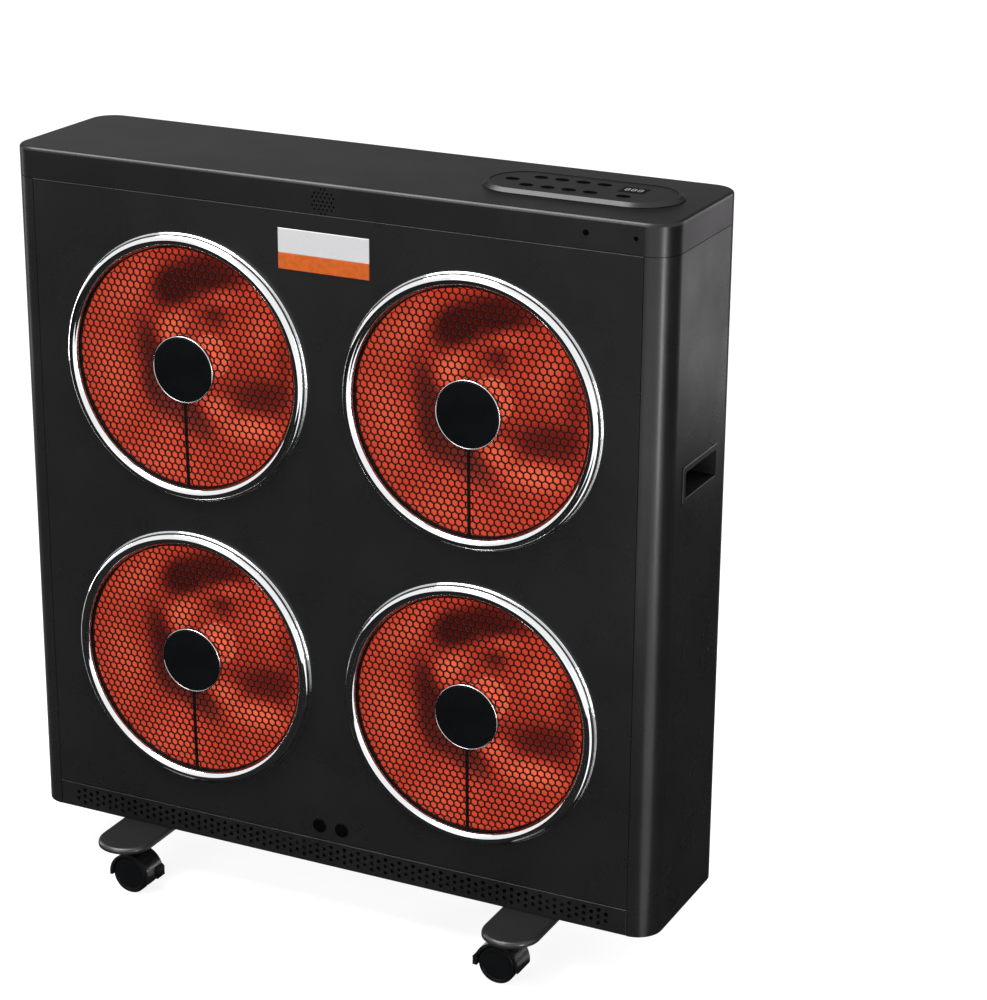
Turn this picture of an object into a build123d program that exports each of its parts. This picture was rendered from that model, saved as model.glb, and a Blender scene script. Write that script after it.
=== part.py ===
from build123d import *
import math
import os

# Four-headed infrared heater on a castor base. Units are millimetres.
# The front faces -Y, +X is to the viewer's right and +Z is up. The origin is on the
# floor, under the middle of the cabinet.

# Cabinet
CABINET_WIDTH = 700.0
CABINET_DEPTH = 170.0
CABINET_HEIGHT = 704.0
CORNER_RADIUS = 26.0
SHEET = 1.2
SEAM = 0.6
FLANGE_WIDTH = 12.0
CAP_HEIGHT = 30.0
STRIP_HEIGHT = 28.0
BASE_THICKNESS = 2.0
BASE_LIP = 12.0
FIT_GAP = 0.3

# Moulded top cap
CAP_WALL = 2.5
CAP_EDGE_RADIUS = 3.5
CAP_SKIRT = 8.0
CAP_SKIRT_WALL = 2.0

# Control pad on the cap, placed from the cabinet's right side
PAD_INSET = 124.0
PAD_LENGTH = 192.0
PAD_WIDTH = 104.0
PAD_RISE = 4.5
PAD_BEVEL = 3.5
PAD_RIM = 3.0
PLATE_THICKNESS = 1.0
PLATE_RECESS = 1.5

# Push buttons: ten ovals with one elliptical cap each
BUTTON_LENGTH = 14.0
BUTTON_WIDTH = 9.0
BUTTON_CLEARANCE = 0.3
BUTTON_PROUD = 0.4
BUTTON_TRAVEL = 0.8
BUTTON_FLANGE = 1.5
BUTTON_FLANGE_THICKNESS = 1.2
BUTTON_STEM_RADIUS = 2.0
BUTTON_PITCH = 21.4
BUTTON_ROW_OFFSET = 16.5
BUTTON_FIRST = -72.0
BUTTON_ROW_START = -50.0
BUTTON_LAST = 47.0

# Display
DISPLAY_CENTRE_Y = 11.0
DISPLAY_LENGTH = 30.0
DISPLAY_WIDTH = 15.0

# Control board under the pad
BOARD_LENGTH = 150.0
BOARD_WIDTH = 64.0
BOARD_THICKNESS = 1.6
BOARD_DROP = 14.0
SWITCH_SIDE = 6.0
SWITCH_HEIGHT = 4.0
BOSS_RADIUS = 4.0

# Front of the cap: loudspeaker holes and two small lenses
SPEAKER_HEIGHT = 12.5
SPEAKER_HOLE_RADIUS = 1.1
SPEAKER_HOLE_PITCH = 4.5
SPEAKER_HOLE_RINGS = 2.7
SPEAKER_RADIUS = 13.0
SPEAKER_COLLAR = 1.2
SPEAKER_DEPTH = 9.0
SPEAKER_SEAT_DEPTH = 5.0
RECEIVER_INSET = 83.0
RECEIVER_RADIUS = 2.75
LAMP_INSET = 34.5
LAMP_RADIUS = 2.0
LENS_DROP = 15.0
LENS_DEPTH = 7.0

# Heating heads, with equal gaps above, between and below them
HEAD_X = 154.0
RING_RADIUS = 135.0
RING_INNER_RADIUS = 122.0
RING_PROUD = 8.6
RING_FLANGE = 2.0
RING_FLANGE_THICKNESS = 1.2
RING_COLLAR = 6.0
RING_COLLAR_WALL = 2.8
RING_LEDGE = 3.0
RING_LEDGE_THICKNESS = 1.5
RING_BEAD_STEPS = 6
GRILLE_THICKNESS = 1.5
GRILLE_PITCH = 27.0
GRILLE_WEB = 4.5
GRILLE_HUB_RADIUS = 36.0
GRILLE_RIM = 3.0
GRILLE_LEAST_CELL = 0.2
GRILLE_STAY_WIDTH = 5.0
CENTRE_CAP_RADIUS = 32.0
CENTRE_CAP_THICKNESS = 4.0
CENTRE_RIM_WIDTH = 1.5
REFLECTOR_DEPTH = 56.0
REFLECTOR_SHEET = 1.0
REFLECTOR_FLANGE = 12.0
REFLECTOR_NECK_RADIUS = 22.0
REFLECTOR_RIM_GAP = 2.0
REFLECTOR_CURVE = 2.35
REFLECTOR_STEPS = 6
ELEMENT_RADIUS = 13.0
ELEMENT_LENGTH = 48.0
ELEMENT_COLLARS = 3
ELEMENT_COLLAR_HEIGHT = 3.0
ELEMENT_GROOVE = 2.0
SOCKET_RADIUS = 19.0
SOCKET_LENGTH = 24.0
SOCKET_FLANGE = 5.0
SOCKET_FLANGE_THICKNESS = 3.0

# Front panel details
SENSOR_X = 12.5
SENSOR_HEIGHT = 43.0
SENSOR_RADIUS = 7.5
SENSOR_PROUD = 1.0
SENSOR_DEPTH = 9.0
BADGE_WIDTH = 97.0
BADGE_HEIGHT = 39.5
BADGE_DROP = 37.0
BADGE_THICKNESS = 0.8

# Perforated air intake
INTAKE_PITCH_X = 7.75
INTAKE_PITCH_Z = 7.0
INTAKE_HOLE_RADIUS = 1.75
INTAKE_MARGIN = 16.0

# Recessed carrying handles
HANDLE_HEIGHT = 449.0
HANDLE_LENGTH = 86.0
HANDLE_FACE = 37.0
HANDLE_PROUD = 1.2
HANDLE_MARGIN = 5.5
HANDLE_DEPTH = 24.0
HANDLE_WALL = 2.0
HANDLE_DRAFT = 6.0
HANDLE_CORNER = 3.0

# Rear panel
VENT_LENGTH = 90.0
VENT_WIDTH = 5.0
VENT_PITCH = 12.0
VENT_ROWS = 6
VENT_COLUMNS = 3
VENT_COLUMN_PITCH = 150.0
UPPER_VENT_DROP = 146.0
LOWER_VENT_HEIGHT = 70.0
SCREW_HEAD_RADIUS = 4.0
SCREW_HEAD_HEIGHT = 2.0
SCREW_SHANK_RADIUS = 1.9
SCREW_SHANK_LENGTH = 6.0
SCREW_INSET = 8.0
SCREW_ROWS = 4

# Cable gland in the rear panel, placed from the cabinet's left side
GLAND_INSET = 80.0
GLAND_HEIGHT = 36.0
GLAND_BORE_RADIUS = 4.0
GLAND_BODY_RADIUS = 8.0
GLAND_NUT_RADIUS = 12.0
GLAND_NUT_LENGTH = 7.0
GLAND_DOME_LENGTH = 9.0
GLAND_INNER_LENGTH = 14.0

# Power electronics on the base plate
POWER_BOARD_X = 120.0
POWER_BOARD_LENGTH = 180.0
POWER_BOARD_WIDTH = 90.0
POWER_BOARD_STANDOFF = 8.0
STANDOFF_RADIUS = 3.0
STANDOFF_INSET = 6.0
RELAYS = 4
RELAY_LENGTH = 18.0
RELAY_WIDTH = 28.0
RELAY_HEIGHT = 16.0
RELAY_PITCH = 24.0
RELAY_INSET = 26.0
RELAY_OFFSET = -6.0
TERMINAL_LENGTH = 28.0
TERMINAL_HEIGHT = 14.0
TERMINAL_INSET = 12.0
TERMINAL_MARGIN = 8.0

# Tip-over switch on the base plate
TIP_X = -150.0
TIP_WIDTH = 50.0
TIP_DEPTH = 20.0
TIP_HEIGHT = 46.0
TIP_WALL = 2.0
TIP_PIN_RADIUS = 1.5
TIP_PIN_CLEARANCE = 0.05
TIP_ARM_LENGTH = 22.0
TIP_BOB_RADIUS = 6.0
TIP_BOB_LENGTH = 9.0

# Foot bars, placed from the cabinet's sides
FOOT_INSET = 130.5
FOOT_WIDTH = 59.0
FOOT_LENGTH = 302.0
FOOT_THICKNESS = 5.5
FOOT_EDGE = 4.0

# Twin-wheel castors with a brake pedal on one half
WHEEL_RADIUS = 19.4
WHEEL_WIDTH = 8.8
WHEEL_INNER_Y = 4.6
WHEEL_EDGE = 1.5
WHEEL_DISH = 1.0
WHEEL_RIM = 3.5
CASTOR_TRAIL = 10.0
CASTOR_HEIGHT = 50.0
HOOD_GAP = 1.0
HOOD_WALL = 3.2
HOOD_HALF_WIDTH = 13.7
HOOD_FRONT_ANGLE = 188.0
HOOD_REAR_ANGLE = -10.0
WEB_HALF_WIDTH = 4.0
WEB_HUB_RADIUS = 7.0
AXLE_RADIUS = 2.5
AXLE_CLEARANCE = 0.05
WHEEL_SEAT = 0.02
BOSS_TOP_GAP = 0.3
CASTOR_BOSS_RADIUS = 9.0
STEM_RADIUS = 5.0
STEM_CLEARANCE = 0.05
STEM_LENGTH = 3.8
STEM_END_GAP = 0.4
PEDAL_PIVOT_X = 14.0
PEDAL_PIVOT_Z = -1.0
PEDAL_INNER_X = 20.9
PEDAL_OUTER_X = 25.6
PEDAL_TOP_Z = 7.5
PEDAL_BOTTOM_Z = -4.2
PEDAL_SLOPE = 2.6
PEDAL_GAP = 0.6
PEDAL_GROOVES = 3
PEDAL_ARM_HALF_WIDTH = 1.6
PEDAL_ARM_HALF_HEIGHT = 2.2
PEDAL_PIN_RADIUS = 1.2
PEDAL_PIN_CLEARANCE = 0.05

# Heights and planes that follow from the sizes above
CABINET_BOTTOM = CASTOR_HEIGHT + FOOT_THICKNESS
CABINET_TOP = CABINET_BOTTOM + CABINET_HEIGHT
CAP_SEAM_Z = CABINET_TOP - CAP_HEIGHT
STRIP_TOP_Z = CABINET_BOTTOM + STRIP_HEIGHT
FRONT_Y = -CABINET_DEPTH / 2
REAR_Y = CABINET_DEPTH / 2
SEAM_X = CABINET_WIDTH / 2 - CORNER_RADIUS
FLOOR_PLATE_TOP = CABINET_BOTTOM + BASE_THICKNESS
PAD_TOP = CABINET_TOP + PAD_RISE
PLATE_FLOOR = PAD_TOP - PLATE_RECESS
PLATE_TOP = PLATE_FLOOR + PLATE_THICKNESS
PAD_UNDERSIDE = PLATE_FLOOR - CAP_WALL
BOARD_TOP = CABINET_TOP - BOARD_DROP + BOARD_THICKNESS
SPEAKER_Z = CAP_SEAM_Z + SPEAKER_HEIGHT
LENS_Z = CABINET_TOP - LENS_DROP
STEM_Y = (FOOT_LENGTH - FOOT_WIDTH) / 2
FOOT_X = CABINET_WIDTH / 2 - FOOT_INSET
GLAND_X = GLAND_INSET - CABINET_WIDTH / 2
PAD_CENTRE_X = CABINET_WIDTH / 2 - PAD_INSET
RECEIVER_X = CABINET_WIDTH / 2 - RECEIVER_INSET
LAMP_X = CABINET_WIDTH / 2 - LAMP_INSET
BUTTON_LAST_X = PAD_CENTRE_X + BUTTON_LAST
HEAD_GAP = (CAP_SEAM_Z - STRIP_TOP_Z - 4 * RING_RADIUS) / 3
UPPER_HEAD_Z = CAP_SEAM_Z - HEAD_GAP - RING_RADIUS
LOWER_HEAD_Z = STRIP_TOP_Z + HEAD_GAP + RING_RADIUS

HEADS = {
    "upper_left": (-HEAD_X, UPPER_HEAD_Z),
    "upper_right": (HEAD_X, UPPER_HEAD_Z),
    "lower_left": (-HEAD_X, LOWER_HEAD_Z),
    "lower_right": (HEAD_X, LOWER_HEAD_Z),
}

# The brake pedals of the four castors point towards the middle of the heater.
CASTORS = {
    "front_left": (-FOOT_X, -STEM_Y, 0.0),
    "front_right": (FOOT_X, -STEM_Y, 180.0),
    "rear_left": (-FOOT_X, STEM_Y, 0.0),
    "rear_right": (FOOT_X, STEM_Y, 180.0),
}


def button_places():
    """Centres of the ten buttons: one at the left end, two rows of four, one at the right."""
    places = [(PAD_CENTRE_X + BUTTON_FIRST, 0.0)]
    for row_y in (BUTTON_ROW_OFFSET, -BUTTON_ROW_OFFSET):
        for column in range(4):
            x = PAD_CENTRE_X + BUTTON_ROW_START + column * BUTTON_PITCH
            places.append((x, row_y))
    places.append((BUTTON_LAST_X, -BUTTON_ROW_OFFSET))
    return places


def head_place(name):
    """Puts a part drawn about the Z axis on the front panel, its +Z pointing out to the front."""
    x, z = HEADS[name]
    return Pos(x, FRONT_Y, z) * Rot(90, 0, 0)


def outline(inset):
    """The cabinet's plan with rounded corners, drawn in by the inset."""
    return RectangleRounded(
        CABINET_WIDTH - 2 * inset, CABINET_DEPTH - 2 * inset, CORNER_RADIUS - inset
    )


def rise(sketch, bottom, top):
    """Extrudes a plan sketch between two heights."""
    return Pos(0, 0, bottom) * extrude(sketch, top - bottom)


def box_between(low, high):
    """A box given by its lowest and highest corners."""
    size = [b - a for a, b in zip(low, high)]
    middle = [(a + b) / 2 for a, b in zip(low, high)]
    return Pos(*middle) * Box(*size)


def keep(name, shape):
    """Writes one sub-part and counts its solids."""
    solids = shape.solids()
    export_step(Compound(children=list(solids), label=name), f"parts/{name}.step")
    print(name, len(solids))


def handle_opening(half_gap):
    """Cross-section of the handle's pocket wall, in the plane of the side panel."""
    length = HANDLE_LENGTH - 2 * HANDLE_MARGIN + 2 * half_gap
    face = HANDLE_FACE - 2 * HANDLE_MARGIN + 2 * half_gap
    return RectangleRounded(length, face, HANDLE_CORNER + max(half_gap, 0.0))


def handle_place():
    """Puts the handle on the right side: its length runs along Y and its +Z points outwards."""
    origin = (CABINET_WIDTH / 2, 0, CABINET_BOTTOM + HANDLE_HEIGHT)
    return Location(Plane(origin=origin, x_dir=(0, 1, 0), z_dir=(1, 0, 0)))


def side_panel():
    """The right side: one sheet that wraps both corners, with flanges behind the flat panels."""
    ring = outline(0) - outline(SHEET)
    outer_half = Pos(SEAM_X + CORNER_RADIUS, 0) * Rectangle(2 * CORNER_RADIUS, CABINET_DEPTH)
    plan = ring & outer_half
    for side in (-1, 1):
        flange_y = side * (REAR_Y - 1.5 * SHEET)
        flange = Pos(SEAM_X - FLANGE_WIDTH / 2 + 1.0, flange_y) * Rectangle(FLANGE_WIDTH + 2.0, SHEET)
        joggle = Pos(SEAM_X + 2.0, side * (REAR_Y - 1.25 * SHEET)) * Rectangle(4.0, 1.5 * SHEET)
        plan += flange + joggle
    sheet = rise(plan, CABINET_BOTTOM, CAP_SEAM_Z - SEAM)
    opening = extrude(handle_opening(HANDLE_WALL + FIT_GAP), 4 * SHEET, both=True)
    return sheet - handle_place() * opening


def flat_sheet(y_outer, facing, bottom, top):
    """A flat panel between the side seams; facing is -1 for the front and 1 for the rear."""
    half = SEAM_X - SEAM
    low_y, high_y = sorted((y_outer, y_outer - facing * SHEET))
    return box_between((-half, low_y, bottom), (half, high_y, top))


def front_panel():
    """The front sheet with the four head openings and two sensor holes."""
    panel = flat_sheet(FRONT_Y, -1, STRIP_TOP_Z + SEAM, CAP_SEAM_Z - SEAM)
    cutter = Cylinder(RING_INNER_RADIUS + RING_COLLAR_WALL + FIT_GAP, 6 * SHEET)
    for name in HEADS:
        panel -= head_place(name) * cutter
    hole = Cylinder(SENSOR_RADIUS - 1.0 + FIT_GAP, 6 * SHEET)
    for side in (-1, 1):
        panel -= Pos(side * SENSOR_X, FRONT_Y, CABINET_BOTTOM + SENSOR_HEIGHT) * Rot(90, 0, 0) * hole
    return panel


def intake_grille():
    """The perforated strip under the front panel: columns of three and two holes in turn."""
    half = SEAM_X - SEAM
    top = STRIP_TOP_Z - SEAM
    plan = Rectangle(2 * half, top - CABINET_BOTTOM)
    columns = int((half - INTAKE_MARGIN) / INTAKE_PITCH_X)
    holes = []
    for column in range(-columns, columns + 1):
        rows = (-1, 0, 1) if column % 2 == 0 else (-0.5, 0.5)
        for row in rows:
            holes.append(Pos(column * INTAKE_PITCH_X, row * INTAKE_PITCH_Z)
                         * RegularPolygon(INTAKE_HOLE_RADIUS, 6))
    plan -= Sketch(children=holes)
    place = Pos(0, FRONT_Y + SHEET, (top + CABINET_BOTTOM) / 2) * Rot(90, 0, 0)
    return place * extrude(plan, SHEET)


def screw_places():
    """Screw positions down both edges of the rear panel, x and z."""
    bottom = CABINET_BOTTOM + SCREW_INSET * 2
    top = CAP_SEAM_Z - SCREW_INSET * 2
    step = (top - bottom) / (SCREW_ROWS - 1)
    edge = SEAM_X - SCREW_INSET
    return [(side * edge, bottom + row * step) for side in (-1, 1) for row in range(SCREW_ROWS)]


def rear_panel():
    """The rear sheet with vent slots, screw holes and the hole for the cable gland."""
    panel = flat_sheet(REAR_Y, 1, CABINET_BOTTOM, CAP_SEAM_Z - SEAM)
    slots = []
    for first_z in (CABINET_BOTTOM + LOWER_VENT_HEIGHT, CAP_SEAM_Z - UPPER_VENT_DROP):
        for row in range(VENT_ROWS):
            for column in range(VENT_COLUMNS):
                x = (column - (VENT_COLUMNS - 1) / 2) * VENT_COLUMN_PITCH
                z = first_z + row * VENT_PITCH
                slots.append(Pos(x, REAR_Y, z) * Box(VENT_LENGTH, 6 * SHEET, VENT_WIDTH))
    panel -= Compound(children=slots)
    for x, z in screw_places():
        panel -= Pos(x, REAR_Y, z) * Rot(90, 0, 0) * Cylinder(SCREW_SHANK_RADIUS + FIT_GAP, 6 * SHEET)
    gland_hole = Cylinder(GLAND_BODY_RADIUS + FIT_GAP, 6 * SHEET)
    return panel - Pos(GLAND_X, REAR_Y, CABINET_BOTTOM + GLAND_HEIGHT) * Rot(90, 0, 0) * gland_hole


def screws():
    """Pan-head screws that hold the rear panel to the side panels' flanges."""
    head = extrude(Circle(SCREW_HEAD_RADIUS), SCREW_HEAD_HEIGHT)
    head = chamfer(head.faces().sort_by(Axis.Z)[-1].edges(), 0.7)
    shank = Pos(0, 0, -SHEET + FIT_GAP) * Cylinder(
        SCREW_SHANK_RADIUS, SHEET, align=(Align.CENTER, Align.CENTER, Align.MIN)
    )
    screw = head + shank
    place = [Pos(x, REAR_Y, z) * Rot(-90, 0, 0) * screw for x, z in screw_places()]
    return Compound(children=place)


def base_plate():
    """The floor tray inside the panels, with a lip all round."""
    inset = 2 * SHEET + FIT_GAP
    floor = rise(outline(inset), CABINET_BOTTOM, FLOOR_PLATE_TOP)
    lip = outline(inset) - outline(inset + SHEET)
    return floor + rise(lip, FLOOR_PLATE_TOP, FLOOR_PLATE_TOP + BASE_LIP)


def pad_outline(inset):
    """The control pad's stadium plan, drawn in by the inset."""
    return Pos(PAD_CENTRE_X, 0) * SlotOverall(PAD_LENGTH - 2 * inset, PAD_WIDTH - 2 * inset)


def button_outline(grow):
    """One button's oval."""
    return Ellipse(BUTTON_LENGTH / 2 + grow, BUTTON_WIDTH / 2 + grow)


def display_outline(grow):
    """The display window: a flat hexagon with pointed ends."""
    half = DISPLAY_LENGTH / 2 + grow
    width = DISPLAY_WIDTH / 2 + grow
    points = [(-half, 0), (-half + width, width), (half - width, width),
              (half, 0), (half - width, -width), (-half + width, -width)]
    return Pos(BUTTON_LAST_X, DISPLAY_CENTRE_Y) * make_face(Polyline(*points, close=True))


def control_holes(grow):
    """Openings for every button and for the display."""
    holes = [Pos(x, y) * button_outline(grow) for x, y in button_places()]
    return Sketch(children=holes) + display_outline(grow)


def speaker_holes():
    """A round cluster of small holes on a triangular grid."""
    holes = []
    reach = math.ceil(SPEAKER_HOLE_RINGS) + 1
    for row in range(-reach, reach + 1):
        for column in range(-reach, reach + 1):
            x = (column + (row % 2) / 2) * SPEAKER_HOLE_PITCH
            y = row * SPEAKER_HOLE_PITCH * math.sqrt(3) / 2
            if math.hypot(x, y) < SPEAKER_HOLE_RINGS * SPEAKER_HOLE_PITCH:
                holes.append(Pos(x, y) * RegularPolygon(SPEAKER_HOLE_RADIUS, 6))
    return extrude(Sketch(children=holes), 3 * CAP_WALL, both=True)


def top_cap():
    """The moulded lid: rounded shell, raised control pad, skirt and board bosses."""
    shell = rise(outline(0), CAP_SEAM_Z, CABINET_TOP)
    shell = fillet(shell.faces().sort_by(Axis.Z)[-1].edges(), CAP_EDGE_RADIUS)
    pad = rise(pad_outline(0), CABINET_TOP - CAP_WALL, PAD_TOP)
    pad = chamfer(pad.faces().sort_by(Axis.Z)[-1].edges(), PAD_BEVEL)
    shell += pad
    shell -= rise(outline(CAP_WALL), CAP_SEAM_Z, CABINET_TOP - CAP_WALL)
    shell -= rise(pad_outline(PAD_BEVEL + CAP_WALL), CAP_SEAM_Z, PAD_UNDERSIDE)
    shell -= rise(pad_outline(PAD_BEVEL + PAD_RIM), PLATE_FLOOR, PAD_TOP)
    inner = SHEET + FIT_GAP
    skirt_plan = outline(inner) - outline(inner + CAP_SKIRT_WALL)
    skirt = rise(skirt_plan, CAP_SEAM_Z - CAP_SKIRT, CAP_SEAM_Z + 2.0)
    notch = Pos(0, 0, CAP_SEAM_Z - CAP_SKIRT / 2 - SEAM / 2) * Box(
        2 * SEAM_X + 10.0, 2 * CABINET_DEPTH, CAP_SKIRT - SEAM
    )
    notch -= Pos(0, 0, CAP_SEAM_Z - CAP_SKIRT / 2) * Box(
        2 * (SEAM_X - FLANGE_WIDTH - 2.0), 2 * CABINET_DEPTH, 2 * CAP_SKIRT
    )
    shell += skirt - notch
    for x, y in board_bosses():
        boss = Pos(x, y, BOARD_TOP) * Cylinder(
            BOSS_RADIUS, PAD_UNDERSIDE - BOARD_TOP + 1.0, align=(Align.CENTER, Align.CENTER, Align.MIN)
        )
        shell += boss
    seat = Circle(SPEAKER_RADIUS + FIT_GAP)
    collar = Circle(SPEAKER_RADIUS + FIT_GAP + SPEAKER_COLLAR)
    seat_place = Pos(0, FRONT_Y + CAP_WALL, SPEAKER_Z) * Rot(-90, 0, 0)
    shell += seat_place * extrude(collar, SPEAKER_SEAT_DEPTH)
    shell -= seat_place * extrude(seat, SPEAKER_SEAT_DEPTH)
    shell -= rise(control_holes(BUTTON_CLEARANCE), PAD_UNDERSIDE - 2.0, PAD_TOP)
    shell -= Pos(0, FRONT_Y, SPEAKER_Z) * Rot(90, 0, 0) * speaker_holes()
    for x, radius in ((RECEIVER_X, RECEIVER_RADIUS), (LAMP_X, LAMP_RADIUS)):
        shell -= Pos(x, FRONT_Y, LENS_Z) * Rot(90, 0, 0) * Cylinder(radius + 0.2, 6 * CAP_WALL)
    return shell


def board_bosses():
    """Centres of the four bosses that carry the control board."""
    half_x = BOARD_LENGTH / 2 - BOSS_RADIUS
    half_y = BOARD_WIDTH / 2 - BOSS_RADIUS
    return [(PAD_CENTRE_X + i * half_x, j * half_y) for i in (-1, 1) for j in (-1, 1)]


def control_plate():
    """The dark faceplate inside the pad's rim."""
    plan = pad_outline(PAD_BEVEL + PAD_RIM + 0.2) - control_holes(BUTTON_CLEARANCE)
    return rise(plan, PLATE_FLOOR, PLATE_TOP)


def button():
    """One push button: domed oval top, retaining flange and stem."""
    flange_top = PAD_UNDERSIDE - FIT_GAP
    top = PLATE_TOP + BUTTON_PROUD
    cap = rise(button_outline(0), flange_top - BUTTON_FLANGE_THICKNESS, top)
    cap = chamfer(cap.faces().sort_by(Axis.Z)[-1].edges(), 0.5)
    flange = rise(button_outline(BUTTON_FLANGE), flange_top - BUTTON_FLANGE_THICKNESS, flange_top)
    stem_bottom = BOARD_TOP + SWITCH_HEIGHT + BUTTON_TRAVEL + 0.1
    stem = rise(Circle(BUTTON_STEM_RADIUS), stem_bottom, flange_top)
    return cap + flange + stem


def display_window():
    """The smoked window of the three-digit display, seated flush in the faceplate."""
    lens = rise(display_outline(0), PAD_UNDERSIDE - 0.5, PLATE_TOP + 0.2)
    module_top = PAD_UNDERSIDE - 0.5
    module = Pos(BUTTON_LAST_X, DISPLAY_CENTRE_Y, 0) * rise(
        Rectangle(DISPLAY_LENGTH - 2.0, DISPLAY_WIDTH - 2.0), BOARD_TOP, module_top
    )
    return lens + module


def control_board():
    """The circuit board under the pad with one push switch below each button."""
    board = rise(
        Pos(PAD_CENTRE_X, 0) * Rectangle(BOARD_LENGTH, BOARD_WIDTH),
        BOARD_TOP - BOARD_THICKNESS,
        BOARD_TOP,
    )
    switches = []
    for x, y in button_places():
        switches.append(rise(Pos(x, y) * Rectangle(SWITCH_SIDE, SWITCH_SIDE),
                             BOARD_TOP, BOARD_TOP + SWITCH_HEIGHT))
    return Compound(children=[board] + switches)


def speaker():
    """The small loudspeaker behind the holes in the cap."""
    body = Cylinder(SPEAKER_RADIUS, SPEAKER_DEPTH, align=(Align.CENTER, Align.CENTER, Align.MAX))
    magnet = Pos(0, 0, -SPEAKER_DEPTH) * Cylinder(
        SPEAKER_RADIUS * 0.6, 4.0, align=(Align.CENTER, Align.CENTER, Align.MAX)
    )
    return Pos(0, FRONT_Y + CAP_WALL + FIT_GAP, SPEAKER_Z) * Rot(90, 0, 0) * (body + magnet)


def sensor_windows():
    """Two dark sensor windows low on the panel, and the receiver and lamp lenses in the cap."""
    head = chamfer(extrude(Circle(SENSOR_RADIUS), SENSOR_PROUD).edges().group_by(Axis.Z)[-1], 0.4)
    body = Cylinder(SENSOR_RADIUS - 1.0, SENSOR_DEPTH, align=(Align.CENTER, Align.CENTER, Align.MAX))
    window = head + body
    pieces = []
    for side in (-1, 1):
        pieces.append(Pos(side * SENSOR_X, FRONT_Y, CABINET_BOTTOM + SENSOR_HEIGHT) * Rot(90, 0, 0) * window)
    for x, radius in ((RECEIVER_X, RECEIVER_RADIUS), (LAMP_X, LAMP_RADIUS)):
        lens = Cylinder(radius, LENS_DEPTH, align=(Align.CENTER, Align.CENTER, Align.MAX))
        pieces.append(Pos(x, FRONT_Y - 0.2, LENS_Z) * Rot(90, 0, 0) * lens)
    return Compound(children=pieces)


def badge_plate():
    """The bare rectangular plate between the upper heads."""
    plate = Box(BADGE_WIDTH, BADGE_THICKNESS, BADGE_HEIGHT)
    return Pos(0, FRONT_Y - BADGE_THICKNESS / 2, CAP_SEAM_Z - BADGE_DROP) * plate


def revolve_profile(points):
    """Revolves a closed outline, drawn in the XZ plane, about Z."""
    corners = [(x, 0, z) for x, z in points]
    return revolve(make_face(Polyline(*corners, close=True)), Axis.Z)


def ring_bead():
    """Profile of the ring's rounded bead, from its outer foot over the crest to the guard."""
    outer = RING_RADIUS - RING_FLANGE
    inner = RING_INNER_RADIUS
    foot = RING_FLANGE_THICKNESS
    lip = GRILLE_THICKNESS + FIT_GAP
    points = []
    for index in range(RING_BEAD_STEPS + 1):
        angle = math.pi * index / RING_BEAD_STEPS
        share = (1 - math.cos(angle)) / 2
        height = foot + (lip - foot) * share
        points.append((outer + (inner - outer) * share, height + (RING_PROUD - height) * math.sin(angle)))
    return points


def trim_ring():
    """The polished ring: flat outer flange, rounded bead, and a collar with a ledge behind."""
    outer = RING_RADIUS
    inner = RING_INNER_RADIUS
    collar = inner + RING_COLLAR_WALL
    ledge = inner - RING_LEDGE
    return revolve_profile([
        (collar, 0),
        (outer, 0),
        (outer, RING_FLANGE_THICKNESS),
        *ring_bead(),
        (inner, 0),
        (ledge, 0),
        (ledge, -RING_LEDGE_THICKNESS),
        (inner, -RING_LEDGE_THICKNESS),
        (inner, -RING_COLLAR),
        (collar, -RING_COLLAR),
    ])


def guard_grille():
    """The guard: hexagonal openings round a plain hub, cut off at the rim, and an upright stay."""
    radius = RING_INNER_RADIUS - FIT_GAP
    hole_radius = (GRILLE_PITCH - GRILLE_WEB) / math.sqrt(3)
    field = Circle(radius - GRILLE_RIM) - Circle(GRILLE_HUB_RADIUS)
    reach = int(radius / GRILLE_PITCH) + 1
    holes = []
    for row in range(-reach - 1, reach + 2):
        for column in range(-2 * reach, 2 * reach + 1):
            x = (column + (row % 2) / 2) * GRILLE_PITCH
            y = row * GRILLE_PITCH * math.sqrt(3) / 2
            distance = math.hypot(x, y)
            hexagon = Pos(x, y) * RegularPolygon(hole_radius, 6, rotation=30)
            if GRILLE_HUB_RADIUS + hole_radius <= distance <= radius - GRILLE_RIM - hole_radius:
                holes.append(hexagon)
            elif GRILLE_HUB_RADIUS - hole_radius < distance < radius - GRILLE_RIM + hole_radius:
                cut = hexagon & field
                if cut.area > GRILLE_LEAST_CELL * hexagon.area:
                    holes.append(cut)
    plan = Circle(radius) - Sketch(children=holes)
    stay_length = radius - GRILLE_HUB_RADIUS
    plan += Pos(0, -(radius + GRILLE_HUB_RADIUS) / 2) * Rectangle(GRILLE_STAY_WIDTH, stay_length - 1.0)
    return extrude(plan, GRILLE_THICKNESS)


def centre_cap():
    """The black disc in the middle of the guard."""
    disc = extrude(Circle(CENTRE_CAP_RADIUS), CENTRE_CAP_THICKNESS)
    disc = chamfer(disc.edges().group_by(Axis.Z)[-1], 0.8)
    return Pos(0, 0, GRILLE_THICKNESS) * disc


def centre_rim():
    """The bright rim round the black disc."""
    inner = CENTRE_CAP_RADIUS
    rim = Circle(inner + CENTRE_RIM_WIDTH) - Circle(inner + 0.05)
    return Pos(0, 0, GRILLE_THICKNESS) * extrude(rim, CENTRE_CAP_THICKNESS - 0.6)


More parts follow.
